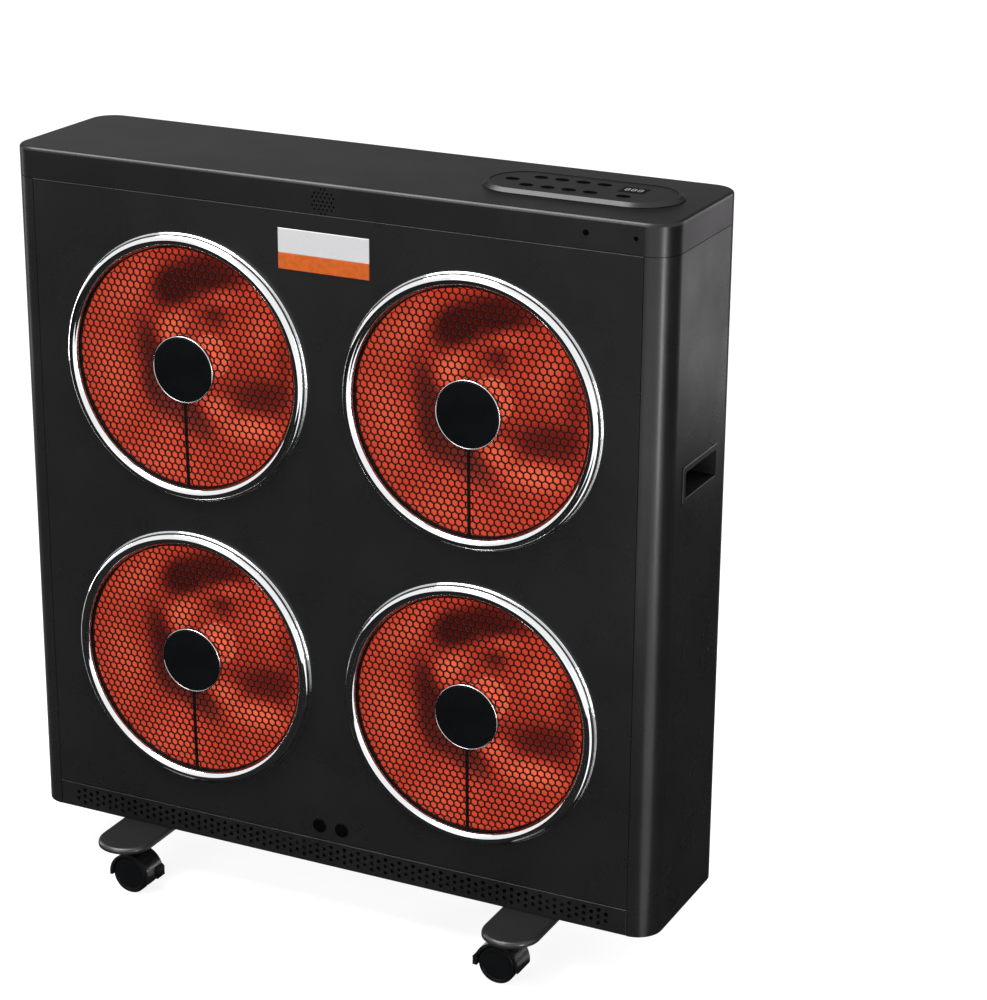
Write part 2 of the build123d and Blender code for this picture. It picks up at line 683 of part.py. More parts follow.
def dish_curve():
    """Profile of the dish from its neck to its rim, radius and height."""
    rim = RING_INNER_RADIUS - REFLECTOR_RIM_GAP
    neck = REFLECTOR_NECK_RADIUS
    bottom = -RING_COLLAR - FIT_GAP - REFLECTOR_DEPTH
    points = []
    for index in range(REFLECTOR_STEPS + 1):
        share = index / REFLECTOR_STEPS
        points.append((neck + (rim - neck) * share, bottom + REFLECTOR_DEPTH * share ** REFLECTOR_CURVE))
    return points


def reflector():
    """The spun dish behind the guard, with a flange against the ring's collar."""
    inside = dish_curve()
    sheet = REFLECTOR_SHEET
    rim, top = inside[-1]
    neck, bottom = inside[0]
    edge = rim + REFLECTOR_FLANGE
    outside = [(radius + sheet * index / REFLECTOR_STEPS, height - sheet)
               for index, (radius, height) in enumerate(inside)]
    return revolve_profile([*inside, (edge, top), (edge, top - sheet), *reversed(outside)])


def heating_element():
    """The ceramic core that carries the winding: a rod with raised collars."""
    base = -RING_COLLAR - FIT_GAP - REFLECTOR_DEPTH - REFLECTOR_SHEET
    core = Pos(0, 0, base) * Cylinder(
        ELEMENT_RADIUS - ELEMENT_GROOVE, ELEMENT_LENGTH, align=(Align.CENTER, Align.CENTER, Align.MIN)
    )
    step = (ELEMENT_LENGTH - 2 * ELEMENT_COLLAR_HEIGHT) / (ELEMENT_COLLARS - 1)
    for index in range(ELEMENT_COLLARS):
        middle = base + ELEMENT_COLLAR_HEIGHT + index * step
        core += Pos(0, 0, middle) * Cylinder(ELEMENT_RADIUS, ELEMENT_COLLAR_HEIGHT)
    return core


def element_socket():
    """The ceramic socket behind the dish."""
    top = -RING_COLLAR - FIT_GAP - REFLECTOR_DEPTH - REFLECTOR_SHEET
    flange = Pos(0, 0, top) * Cylinder(
        REFLECTOR_NECK_RADIUS + SOCKET_FLANGE, SOCKET_FLANGE_THICKNESS,
        align=(Align.CENTER, Align.CENTER, Align.MAX)
    )
    body = Pos(0, 0, top - SOCKET_FLANGE_THICKNESS) * Cylinder(
        SOCKET_RADIUS, SOCKET_LENGTH, align=(Align.CENTER, Align.CENTER, Align.MAX)
    )
    return flange + body


def handle():
    """The right recessed grip: a thin bezel on the panel and a drafted pocket behind it."""
    bezel = extrude(RectangleRounded(HANDLE_LENGTH, HANDLE_FACE, HANDLE_CORNER), HANDLE_PROUD)
    bezel = chamfer(bezel.edges().group_by(Axis.Z)[-1], 0.6)
    outer = extrude(handle_opening(HANDLE_WALL), -HANDLE_DEPTH - HANDLE_WALL, taper=HANDLE_DRAFT)
    inner = extrude(handle_opening(0), -HANDLE_DEPTH, taper=HANDLE_DRAFT)
    mouth = extrude(handle_opening(0), HANDLE_PROUD)
    grip = bezel + outer - inner - mouth
    return handle_place() * grip


def power_board():
    """The relay and terminal board on standoffs on the floor tray."""
    bottom = FLOOR_PLATE_TOP + POWER_BOARD_STANDOFF
    top = bottom + BOARD_THICKNESS
    half_x = POWER_BOARD_LENGTH / 2
    half_y = POWER_BOARD_WIDTH / 2
    pieces = [box_between((-half_x, -half_y, bottom), (half_x, half_y, top))]
    standoff = extrude(RegularPolygon(STANDOFF_RADIUS, 6), POWER_BOARD_STANDOFF)
    for i in (-1, 1):
        for j in (-1, 1):
            x = i * (half_x - STANDOFF_INSET)
            y = j * (half_y - STANDOFF_INSET)
            pieces.append(Pos(x, y, FLOOR_PLATE_TOP) * standoff)
    relay = Box(RELAY_LENGTH, RELAY_WIDTH, RELAY_HEIGHT, align=(Align.CENTER, Align.CENTER, Align.MIN))
    for index in range(RELAYS):
        pieces.append(Pos(-half_x + RELAY_INSET + index * RELAY_PITCH, RELAY_OFFSET, top) * relay)
    terminal_end = half_x - TERMINAL_INSET
    terminal_half = half_y - TERMINAL_MARGIN
    pieces.append(box_between(
        (terminal_end - TERMINAL_LENGTH, -terminal_half, top),
        (terminal_end, terminal_half, top + TERMINAL_HEIGHT),
    ))
    return Pos(POWER_BOARD_X, 0, 0) * Compound(children=pieces)


def tip_switch_housing():
    """The open-fronted case of the tip-over switch, with the pivot pin across it."""
    half_x = TIP_WIDTH / 2
    half_y = TIP_DEPTH / 2
    top = FLOOR_PLATE_TOP + TIP_HEIGHT
    case = box_between((-half_x, -half_y, FLOOR_PLATE_TOP), (half_x, half_y, top))
    case -= box_between(
        (-half_x + TIP_WALL, -half_y + TIP_WALL, FLOOR_PLATE_TOP + TIP_WALL),
        (half_x - TIP_WALL, half_y - TIP_WALL, top - TIP_WALL),
    )
    case -= box_between(
        (-half_x + 3 * TIP_WALL, -half_y, FLOOR_PLATE_TOP + 3 * TIP_WALL),
        (half_x - 3 * TIP_WALL, -half_y + TIP_WALL, top - 8 * TIP_WALL),
    )
    pin = Pos(0, 0, tip_pivot_z()) * Rot(90, 0, 0) * Cylinder(TIP_PIN_RADIUS, TIP_DEPTH - TIP_WALL)
    return Pos(TIP_X, 0, 0) * (case + pin)


def tip_pivot_z():
    """Height of the tip-over switch's pivot."""
    return FLOOR_PLATE_TOP + TIP_HEIGHT - 4 * TIP_WALL


def tip_switch_pendulum():
    """The weighted arm that hangs from the pin and swings when the heater tips."""
    eye_radius = TIP_PIN_RADIUS + 2.0
    thickness = 4.0
    eye = Cylinder(eye_radius, thickness)
    arm = Pos(0, -TIP_ARM_LENGTH / 2, 0) * Box(3.0, TIP_ARM_LENGTH, thickness)
    bob = Pos(0, -TIP_ARM_LENGTH, 0) * Cylinder(TIP_BOB_RADIUS, TIP_BOB_LENGTH)
    swing = eye + arm + bob - Cylinder(TIP_PIN_RADIUS + TIP_PIN_CLEARANCE, 2 * thickness)
    return Pos(TIP_X, 0, tip_pivot_z()) * Rot(90, 0, 0) * swing


def cable_gland():
    """The cable gland low on the rear panel: nut, domed clamp and threaded body with a bore."""
    body = Pos(0, 0, -GLAND_INNER_LENGTH) * Cylinder(
        GLAND_BODY_RADIUS, GLAND_INNER_LENGTH, align=(Align.CENTER, Align.CENTER, Align.MIN)
    )
    nut = extrude(RegularPolygon(GLAND_NUT_RADIUS, 6), GLAND_NUT_LENGTH)
    dome = Pos(0, 0, GLAND_NUT_LENGTH) * Cone(
        GLAND_NUT_RADIUS * 0.8, GLAND_BORE_RADIUS + 2.5, GLAND_DOME_LENGTH,
        align=(Align.CENTER, Align.CENTER, Align.MIN)
    )
    gland = body + nut + dome - Cylinder(GLAND_BORE_RADIUS, 100.0)
    return Pos(GLAND_X, REAR_Y, CABINET_BOTTOM + GLAND_HEIGHT) * Rot(-90, 0, 0) * gland


def foot_bar():
    """The left cross bar: a long plate with round ends, rolled top edges and two stem sockets."""
    plan = Rot(0, 0, 90) * SlotOverall(FOOT_LENGTH, FOOT_WIDTH)
    bar = rise(plan, CASTOR_HEIGHT, CABINET_BOTTOM)
    bar = fillet(bar.faces().sort_by(Axis.Z)[-1].edges(), FOOT_EDGE)
    socket = extrude(Circle(STEM_RADIUS), STEM_LENGTH + STEM_END_GAP)
    for side in (-1, 1):
        bar -= Pos(0, side * STEM_Y, CASTOR_HEIGHT) * socket
    return bar


def hood_sector(inner, outer):
    """The part of a ring round the axle that the hood covers, in the XZ plane."""
    ring = Circle(outer) - Circle(inner) if inner else Circle(outer)
    steps = 4
    span = HOOD_FRONT_ANGLE - HOOD_REAR_ANGLE
    far = 3 * outer
    corners = [(0, 0)]
    for index in range(steps + 1):
        angle = math.radians(HOOD_REAR_ANGLE + span * index / steps)
        corners.append((far * math.cos(angle), far * math.sin(angle)))
    wedge = make_face(Polyline(*corners, close=True))
    return ring & wedge


def across(sketch, half_width):
    """Extrudes a sketch of the castor's side view to both sides of its middle plane."""
    return Rot(90, 0, 0) * extrude(sketch, half_width, both=True)


def pedal_outline(grow):
    """Side view of the brake pedal outside the hood."""
    inner = PEDAL_INNER_X - grow
    outer = PEDAL_OUTER_X + grow
    top = PEDAL_TOP_Z + grow
    bottom = PEDAL_BOTTOM_Z - grow
    slope = PEDAL_SLOPE
    corners = [(inner, bottom), (outer, bottom), (outer, top - slope), (outer - slope, top), (inner, top)]
    return make_face(Polyline(*corners, close=True))


def arm_outline(grow):
    """Side view of the arm from the pivot to the pedal."""
    length = PEDAL_INNER_X - PEDAL_PIVOT_X + 1.0
    half = PEDAL_ARM_HALF_HEIGHT + grow
    bar = Pos(PEDAL_PIVOT_X + length / 2, PEDAL_PIVOT_Z) * Rectangle(length, 2 * half)
    return bar + Pos(PEDAL_PIVOT_X, PEDAL_PIVOT_Z) * Circle(half)


def castor_housing():
    """The hooded body, drawn about the axle and then moved so that its stem is on the Z axis."""
    inner = WHEEL_RADIUS + HOOD_GAP
    outer = inner + HOOD_WALL
    hood = across(hood_sector(inner, outer), HOOD_HALF_WIDTH)
    upper = Circle(inner + 1.0) & Pos(0, outer) * Rectangle(4 * outer, 2 * outer)
    cheek = Pos(PEDAL_PIVOT_X, PEDAL_PIVOT_Z) * Circle(PEDAL_ARM_HALF_HEIGHT + 2.0)
    web = across(upper + Circle(WEB_HUB_RADIUS) + cheek, WEB_HALF_WIDTH)
    boss_top = CASTOR_HEIGHT - WHEEL_RADIUS - BOSS_TOP_GAP
    boss = Pos(-CASTOR_TRAIL, 0, 0) * rise(Circle(CASTOR_BOSS_RADIUS), inner - 2.0, boss_top)
    wheel_room = across(Circle(inner), HOOD_HALF_WIDTH + 1.0) - across(Circle(2 * outer), WEB_HALF_WIDTH)
    body = hood + web + boss - wheel_room
    pedal_room = box_between(
        (PEDAL_INNER_X - 2.0, -PEDAL_GAP, PEDAL_BOTTOM_Z - outer),
        (2 * outer, HOOD_HALF_WIDTH + 1.0, PEDAL_TOP_Z + PEDAL_GAP),
    )
    arm_half = PEDAL_ARM_HALF_WIDTH + PEDAL_GAP
    arm_room = across(Circle(PEDAL_ARM_HALF_HEIGHT + 1.0), arm_half)
    slot = box_between(
        (0, -arm_half, -PEDAL_ARM_HALF_HEIGHT - outer),
        (2 * outer, arm_half, PEDAL_ARM_HALF_HEIGHT + 1.0),
    )
    body -= pedal_room + Pos(PEDAL_PIVOT_X, 0, PEDAL_PIVOT_Z) * (slot + arm_room)
    pin_hole = Rot(90, 0, 0) * Cylinder(PEDAL_PIN_RADIUS + PEDAL_PIN_CLEARANCE, 4 * WEB_HALF_WIDTH)
    body -= Pos(PEDAL_PIVOT_X, 0, PEDAL_PIVOT_Z) * pin_hole
    body -= Rot(90, 0, 0) * Cylinder(AXLE_RADIUS + AXLE_CLEARANCE, 3 * outer)
    stem = Pos(-CASTOR_TRAIL, 0, 0) * rise(
        Circle(STEM_RADIUS - STEM_CLEARANCE), boss_top - 1.0, boss_top + BOSS_TOP_GAP + STEM_LENGTH
    )
    return Pos(CASTOR_TRAIL, 0, WHEEL_RADIUS) * (body + stem)


def castor_wheels():
    """Two wheels on one steel axle."""
    inner_y = WHEEL_INNER_Y
    outer_y = WHEEL_INNER_Y + WHEEL_WIDTH
    bore = AXLE_RADIUS + WHEEL_SEAT
    radius = WHEEL_RADIUS
    edge = WHEEL_EDGE
    dish_radius = radius - WHEEL_RIM
    wheel = revolve_profile([
        (bore, inner_y),
        (radius, inner_y),
        (radius, outer_y - edge),
        (radius - edge, outer_y),
        (dish_radius, outer_y),
        (dish_radius - WHEEL_DISH, outer_y - WHEEL_DISH),
        (bore, outer_y - WHEEL_DISH),
    ])
    near = Rot(90, 0, 0) * wheel
    far = Rot(-90, 0, 0) * wheel
    axle = Rot(90, 0, 0) * Cylinder(AXLE_RADIUS, 2 * (outer_y - WHEEL_DISH))
    return Pos(CASTOR_TRAIL, 0, WHEEL_RADIUS) * Compound(children=[near, far, axle])


def brake_pedal():
    """The brake pedal: a grooved block outside the hood, its arm and the cross pin."""
    outline_2d = pedal_outline(0)
    spacing = (PEDAL_TOP_Z - PEDAL_SLOPE - PEDAL_BOTTOM_Z) / (PEDAL_GROOVES + 1)
    for index in range(PEDAL_GROOVES):
        groove_z = PEDAL_BOTTOM_Z + spacing * (index + 1)
        outline_2d -= Pos(PEDAL_OUTER_X, groove_z) * Rectangle(1.6, 0.9)
    block = Pos(0, HOOD_HALF_WIDTH, 0) * Rot(90, 0, 0) * extrude(outline_2d, HOOD_HALF_WIDTH)
    arm = across(arm_outline(0), PEDAL_ARM_HALF_WIDTH)
    pin = Rot(90, 0, 0) * Cylinder(PEDAL_PIN_RADIUS, 2 * (WEB_HALF_WIDTH - 0.2))
    pedal = block + arm + Pos(PEDAL_PIVOT_X, 0, PEDAL_PIVOT_Z) * pin
    return Pos(CASTOR_TRAIL, 0, WHEEL_RADIUS) * pedal


def main():
    os.makedirs("parts", exist_ok=True)
    keep("top_cap", top_cap())
    keep("front_panel", front_panel())
    keep("intake_grille", intake_grille())
    keep("rear_panel", rear_panel())
    keep("base_plate", base_plate())
    right_side = side_panel()
    keep("side_panel_right", right_side)
    keep("side_panel_left", mirror(right_side, Plane.YZ))
    right_handle = handle()
    keep("handle_right", right_handle)
    keep("handle_left", mirror(right_handle, Plane.YZ))

    shapes = {
        "trim_ring": trim_ring(),
        "guard_grille": guard_grille(),
        "reflector": reflector(),
    }
    for name in HEADS:
        for kind, shape in shapes.items():
            keep(f"{kind}_{name}", head_place(name) * shape)
    groups = {
        "centre_caps": centre_cap(),
        "centre_rims": centre_rim(),
        "heating_elements": heating_element(),
        "element_sockets": element_socket(),
    }
    for kind, shape in groups.items():
        keep(kind, Compound(children=[head_place(name) * shape for name in HEADS]))

    keep("control_plate", control_plate())
    keep("display_window", display_window())
    keep("control_board", control_board())
    keep("speaker", speaker())
    keep("sensor_windows", sensor_windows())
    keep("badge_plate", badge_plate())
    keep("power_board", power_board())
    keep("tip_switch_housing", tip_switch_housing())
    keep("tip_switch_pendulum", tip_switch_pendulum())
    keep("cable_gland", cable_gland())
    keep("screws", screws())
    one_button = button()
    for number, (x, y) in enumerate(button_places(), start=1):
        keep(f"button_{number:02d}", Pos(x, y, 0) * one_button)

    bar = foot_bar()
    keep("foot_bar_left", Pos(-FOOT_X, 0, 0) * bar)
    keep("foot_bar_right", Pos(FOOT_X, 0, 0) * bar)
    castor = {
        "castor_housing": castor_housing(),
        "castor_wheels": castor_wheels(),
        "brake_pedal": brake_pedal(),
    }
    for name, (x, y, turn) in CASTORS.items():
        for kind, shape in castor.items():
            keep(f"{kind}_{name}", Pos(x, y, 0) * Rot(0, 0, turn) * shape)


main()
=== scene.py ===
import math

import bpy
from mathutils import Matrix, Vector


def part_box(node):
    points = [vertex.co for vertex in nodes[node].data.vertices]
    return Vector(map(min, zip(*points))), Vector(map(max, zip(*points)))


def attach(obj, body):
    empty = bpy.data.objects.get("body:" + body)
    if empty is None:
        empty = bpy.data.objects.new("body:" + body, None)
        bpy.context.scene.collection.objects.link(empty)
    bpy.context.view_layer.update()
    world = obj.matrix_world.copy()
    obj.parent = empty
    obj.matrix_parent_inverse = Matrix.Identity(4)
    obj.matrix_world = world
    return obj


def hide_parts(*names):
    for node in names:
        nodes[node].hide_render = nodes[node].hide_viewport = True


# Four-headed infrared heater, switched on. Everything is in metres in the frame of the
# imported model: front towards -Y, +X to the viewer's right, +Z up, the floor at zero.

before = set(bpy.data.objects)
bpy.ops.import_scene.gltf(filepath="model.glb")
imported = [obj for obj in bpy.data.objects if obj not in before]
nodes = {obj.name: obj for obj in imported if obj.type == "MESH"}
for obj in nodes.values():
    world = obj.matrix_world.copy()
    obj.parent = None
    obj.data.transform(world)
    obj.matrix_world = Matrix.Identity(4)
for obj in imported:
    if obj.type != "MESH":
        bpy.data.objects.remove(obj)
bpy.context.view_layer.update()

MM = 0.001
HEADS = ("upper_left", "upper_right", "lower_left", "lower_right")

# Places read from the frame
panel_low, panel_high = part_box("front_panel")
strip_low, strip_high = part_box("intake_grille")
plate_low, plate_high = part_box("control_plate")
FRONT_Y = panel_low.y


def centre(node):
    """Middle of a CAD node's box."""
    low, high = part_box(node)
    return (low + high) / 2


# Sizes of the visible detail that the solids leave out
RING_OUTER = 135 * MM
RING_INNER = 122 * MM
RING_HEIGHT = 8.6 * MM
MESH_RADIUS = 121.7 * MM
MESH_RIM = 1.6 * MM
MESH_PITCH = 7.45 * MM
MESH_WEB = 1.35 * MM
MESH_THICKNESS = 1.3 * MM
MESH_SEAT = 1.6 * MM
MESH_DOME = 2.4 * MM
HUB_RADIUS = 33.5 * MM
HUB_HEIGHT = 3.8 * MM
STAY_WIDTH = 3.2 * MM
DISH_DEPTH = 38 * MM
DISH_NECK = 22 * MM
DISH_TOP = -6.5 * MM
COIL_RADIUS = 10.5 * MM
COIL_WIRE = 1.5 * MM
COIL_TURNS = 6
COIL_LENGTH = 30 * MM
RING_LIP = 1.7 * MM
RING_SKIRT = 6.0 * MM
RING_WALL = 2.8 * MM
HUB_RIM = 1.3 * MM
DISH_SHEET = 0.8 * MM
DISH_FLANGE = 10 * MM
LARGE_TURN = 180
DISH_TURN = 128
HUB_TURN = 96
CORE_TURN = 48

# Intake strip: columns of round holes
STRIP_COLUMN_PITCH = 7.75 * MM
STRIP_ROW_PITCH = 7.0 * MM
STRIP_HOLE_RADIUS = 2.15 * MM
STRIP_MARGIN = 16.0 * MM
STRIP_EDGE = 0.5 * MM
STRIP_DEPTH = 1.2 * MM
HOLE_SIDES = 12

# Badge plate and the thin beads along edges
BADGE_SPLIT = 0.40
BADGE_EDGE = 0.5 * MM
BEAD_RADIUS = 0.45 * MM
GRIP_MARGIN = 5.5 * MM

# Control pad: the solid's wider oval, and how far its outline moves to the slim one
PAD_MIDDLE = (plate_low.x + plate_high.x) / 2
PAD_FLOOR = plate_low.z - 7 * MM
PAD_CORE = 44 * MM
PAD_EDGE_FROM = 44.9 * MM
PAD_EDGE_TO = 52.3 * MM
PAD_SLIMMER = 11 * MM
PAD_LONGER = 13.5 * MM

# Display window: the solid's pointed outline, and the rectangle that it becomes
DISPLAY_ALONG = 47 * MM
DISPLAY_FROM = 11 * MM
DISPLAY_TO = 9 * MM
DISPLAY_REACH_X = 16 * MM
DISPLAY_REACH_Y = 9 * MM
DISPLAY_HALF_OLD = 15 * MM
DISPLAY_HALF_LENGTH = 12.5 * MM
DISPLAY_HALF_WIDTH = 9.5 * MM

# The seven bars of a digit: two ends each, in half widths and half heights
DIGIT_BARS = (((-1, 1), (1, 1)), ((-1, 0), (1, 0)), ((-1, -1), (1, -1)),
              ((-1, 0), (-1, 1)), ((1, 0), (1, 1)), ((-1, -1), (-1, 0)), ((1, -1), (1, 0)))
DIGIT_HALF_WIDTH = 1.8 * MM
DIGIT_HALF_HEIGHT = 3.6 * MM
DIGIT_PITCH = 6.4 * MM
DIGIT_BAR = 0.38 * MM
DIGIT_GAP = 0.35 * MM

# Shading angles in degrees: edges sharper than these stay creased
EDGE_ANGLE = 20.0
NODE_ANGLE = 35.0
TURNED_ANGLE = 40.0

# The camera stands where the photograph was taken from; angles in degrees
CAMERA_PLACE = (1.2549, -2.3210, 1.3676)
CAMERA_YAW = 25.71
CAMERA_PITCH = 19.73
CAMERA_ROLL = 0.496
FOCAL_SHARE = 2.8258
SENSOR = 36.0

# Studio, in metres
FLOOR_HALF = 14.0
FLOOR_NEAR = 0.6
FLOOR_FAR = 3.0
FLOOR_NEAR_WHITE = 1.36
FLOOR_FAR_WHITE = 1.60
FLOOR_WHITE_SHARE = 0.63
ROOM_GREY = 0.30
CARD_LIFT = 0.002


# Mesh helpers


def mesh_object(name, vertices, faces, material, body, smooth=30.0, face_slots=None, materials=None):
    """A mesh piece that rides on a CAD body, shaded smooth below the given angle."""
    mesh = bpy.data.meshes.new(name)
    mesh.from_pydata(vertices, [], faces)
    mesh.update()
    for item in materials or [material]:
        mesh.materials.append(item)
    if face_slots:
        mesh.polygons.foreach_set("material_index", face_slots)
    shade(mesh, smooth)
    piece = bpy.data.objects.new(name, mesh)
    bpy.context.scene.collection.objects.link(piece)
    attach(piece, body)
    return piece


def shade(mesh, angle):
    """Smooth shading with creases sharper than the angle, in degrees."""
    mesh.polygons.foreach_set("use_smooth", [angle > 0] * len(mesh.polygons))
    if angle > 0:
        mesh.set_sharp_from_angle(angle=math.radians(angle))


def copy_piece(source, name, matrix, body):
    """Another piece with the same mesh, at its own place."""
    piece = bpy.data.objects.new(name, source.data)
    bpy.context.scene.collection.objects.link(piece)
    piece.matrix_world = matrix
    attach(piece, body)
    return piece


def lathe(profile, segments, closed=True):
    """Vertices and faces of a profile of (radius, height) points turned about Z."""
    vertices = []
    for radius, height in profile:
        for step in range(segments):
            angle = 2 * math.pi * step / segments
            vertices.append((radius * math.cos(angle), radius * math.sin(angle), height))
    faces = []
    count = len(profile)
    last = count if closed else count - 1
    for row in range(last):
        below = row * segments
        above = ((row + 1) % count) * segments
        for step in range(segments):
            after = (step + 1) % segments
            faces.append((below + step, below + after, above + after, above + step))
    return vertices, faces


def disc_cap(profile, segments):
    """A turned piece whose last profile ring is closed by one flat face."""
    vertices, faces = lathe(profile, segments, closed=False)
    start = (len(profile) - 1) * segments
    faces.append(tuple(range(start, start + segments)))
    faces.append(tuple(reversed(range(segments))))
    return vertices, faces


def arc(centre_point, radius, start, end, steps):
    """Points on an arc in the profile plane, angles in degrees."""
    points = []
    for step in range(steps + 1):
        angle = math.radians(start + (end - start) * step / steps)
        points.append((centre_point[0] + radius * math.cos(angle),
                       centre_point[1] + radius * math.sin(angle)))
    return points


def arc_through(first, middle, last, steps):
    """Points on the arc through three profile points."""
    ax, ay = first
    bx, by = middle
    cx, cy = last
    d = 2 * (ax * (by - cy) + bx * (cy - ay) + cx * (ay - by))
    a2, b2, c2 = ax * ax + ay * ay, bx * bx + by * by, cx * cx + cy * cy
    ux = (a2 * (by - cy) + b2 * (cy - ay) + c2 * (ay - by)) / d
    uy = (a2 * (cx - bx) + b2 * (ax - cx) + c2 * (bx - ax)) / d
    radius = math.hypot(ax - ux, ay - uy)
    start = math.degrees(math.atan2(ay - uy, ax - ux))
    mid = math.degrees(math.atan2(by - uy, bx - ux))
    end = math.degrees(math.atan2(cy - uy, cx - ux))
    sweep = (end - start) % 360
    if (mid - start) % 360 > sweep:
        sweep -= 360
    return arc((ux, uy), radius, start, start + sweep, steps)


def head_matrix(name):
    """Puts a piece drawn about Z in front of a head's centre, its +Z towards the viewer."""
    middle = centre(f"trim_ring_{name}")
    return Matrix.Translation((middle.x, FRONT_Y, middle.z)) @ Matrix.Rotation(math.pi / 2, 4, "X")


def for_every_head(kind, build, *replaced):
    """One mesh shared by the four heads; each copy stands for that head's CAD nodes."""
    first = None
    for name in HEADS:
        label = f"{kind}_{name}"
        if first is None:
            piece = build(label)
            piece.matrix_world = head_matrix(name)
            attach(piece, "cabinet")
            first = piece
        else:
            piece = copy_piece(first, label, head_matrix(name), "cabinet")
        if replaced:
            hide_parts(*[item.format(name) for item in replaced])


# Materials

# Share of the usual reflection that satin paint keeps at a glancing angle
GLANCING = 0.36


class Shader:
    """A node material with a Principled shader and short calls for what feeds it."""

    def __init__(self, name, color, roughness, metallic=0.0):
        self.material = bpy.data.materials.new(name)
        self.material.use_nodes = True
        self.tree = self.material.node_tree
        self.main = self.tree.nodes["Principled BSDF"]
        self.set("Base Color", (*color, 1.0))
        self.set("Roughness", roughness)
        self.set("Metallic", metallic)

    def set(self, socket, value):
        """Sets a socket of the shader itself."""
        self.main.inputs[socket].default_value = value
        return self

    def node(self, kind, **settings):
        """A new node with the given settings."""
        made = self.tree.nodes.new(kind)
        for key, value in settings.items():
            setattr(made, key, value)
        return made

    def link(self, output, target):
        self.tree.links.new(output, target)

    def coordinates(self):
        """Object coordinates in metres: the frame's, or for a head's pieces the head's own."""
        return self.node("ShaderNodeTexCoord").outputs["Object"]

    def noise(self, scale, detail=2.0, stretch=(1, 1, 1), roughness=0.5):
        """Noise from 0 to 1; the scale is in cells per metre, and more along a stretched axis."""
        mapping = self.node("ShaderNodeMapping")
        mapping.inputs["Scale"].default_value = stretch
        self.link(self.coordinates(), mapping.inputs["Vector"])
        texture = self.node("ShaderNodeTexNoise")
        texture.inputs["Scale"].default_value = scale
        texture.inputs["Detail"].default_value = detail
        texture.inputs["Roughness"].default_value = roughness
        self.link(mapping.outputs["Vector"], texture.inputs["Vector"])
        return texture.outputs["Fac"]

    def ramp(self, value, stops):
        """A colour ramp with (position, colour) stops."""
        ramp = self.node("ShaderNodeValToRGB")
        elements = ramp.color_ramp.elements
        while len(elements) < len(stops):
            elements.new(1.0)
        for element, (position, color) in zip(elements, stops):
            element.position = position
            element.color = (*color, 1.0)
        self.link(value, ramp.inputs["Fac"])
        return ramp.outputs["Color"]

    def between(self, value, low, high):
        """Maps a 0 to 1 value to a range."""
        span = self.node("ShaderNodeMapRange")
        span.inputs["To Min"].default_value = low
        span.inputs["To Max"].default_value = high
        self.link(value, span.inputs["Value"])
        return span.outputs["Result"]

    def vary_color(self, dark, light, scale, detail=3.0, stretch=(1, 1, 1), low=0.35, high=0.65):
        """Lets the base colour wander between two colours."""
        stops = [(low, dark), (high, light)]
        self.link(self.ramp(self.noise(scale, detail, stretch), stops), self.main.inputs["Base Color"])
        return self

    def vary_roughness(self, low, high, scale, detail=3.0, stretch=(1, 1, 1)):
        """Lets the roughness wander between two values."""
        value = self.between(self.noise(scale, detail, stretch), low, high)
        self.link(value, self.main.inputs["Roughness"])
        return self

    def bump(self, value, distance, strength=1.0):
        """Small relief, with its height in metres."""
        bump = self.node("ShaderNodeBump")
        bump.inputs["Distance"].default_value = distance
        bump.inputs["Strength"].default_value = strength
        self.link(value, bump.inputs["Height"])
        self.link(bump.outputs["Normal"], self.main.inputs["Normal"])
        return self


def make_satin(name, color, metallic, low, high, grain):
    """Dark satin paint with fine metal flake: matt at a glancing angle, bright along edges that
    turn through a light. Fine grain and slightly uneven gloss."""
    shader = Shader(name, color, (low + high) / 2, metallic)
    shader.set("Specular IOR Level", 0.0)
    shader.set("Specular Tint", (GLANCING, GLANCING, GLANCING, 1.0))
    dark = tuple(value * 0.93 for value in color)
    light = tuple(value * 1.07 for value in color)
    shader.vary_color(dark, light, 14.0, 4.0)
    shader.vary_roughness(low, high, 30.0)
    shader.bump(shader.noise(grain, 2.0), 0.00005, 0.4)
    return shader.material


def make_chrome():
    """Polished chrome with the faintest wipe marks."""
    shader = Shader("polished_chrome", (0.86, 0.87, 0.88), 0.05, 1.0)
    shader.vary_roughness(0.035, 0.075, 60.0, 2.0, (1, 1, 8))
    return shader.material


def make_black(name, color, low, high, scale=50.0, grain=0.00003, specular=0.2):
    """Black plastic or stoved metal with uneven gloss and a fine grain."""
    shader = Shader(name, color, (low + high) / 2)
    shader.set("Specular IOR Level", specular)
    lighter = tuple(value * 1.25 for value in color)
    shader.vary_color(color, lighter, scale, 3.0)
    shader.vary_roughness(low, high, scale)
    shader.bump(shader.noise(1800.0, 2.0), grain, 0.4)
    return shader.material


def make_metal(name, color, low, high, scale, stretch=(1, 1, 1)):
    """Bare metal with a directional finish."""
    shader = Shader(name, color, (low + high) / 2, 1.0)
    shader.vary_roughness(low, high, scale, 4.0, stretch)
    shader.bump(shader.noise(scale * 2, 2.0, stretch), 0.00002, 0.3)
    return shader.material


def make_badge_silver():
    """Light satin metal paint with a fine lengthwise brush."""
    shader = Shader("badge_silver", (0.60, 0.60, 0.61), 0.42, 0.25)
    shader.vary_color((0.57, 0.57, 0.58), (0.64, 0.64, 0.65), 300.0, 3.0, (1, 1, 30))
    shader.vary_roughness(0.36, 0.48, 300.0, 3.0, (1, 1, 30))
    return shader.material


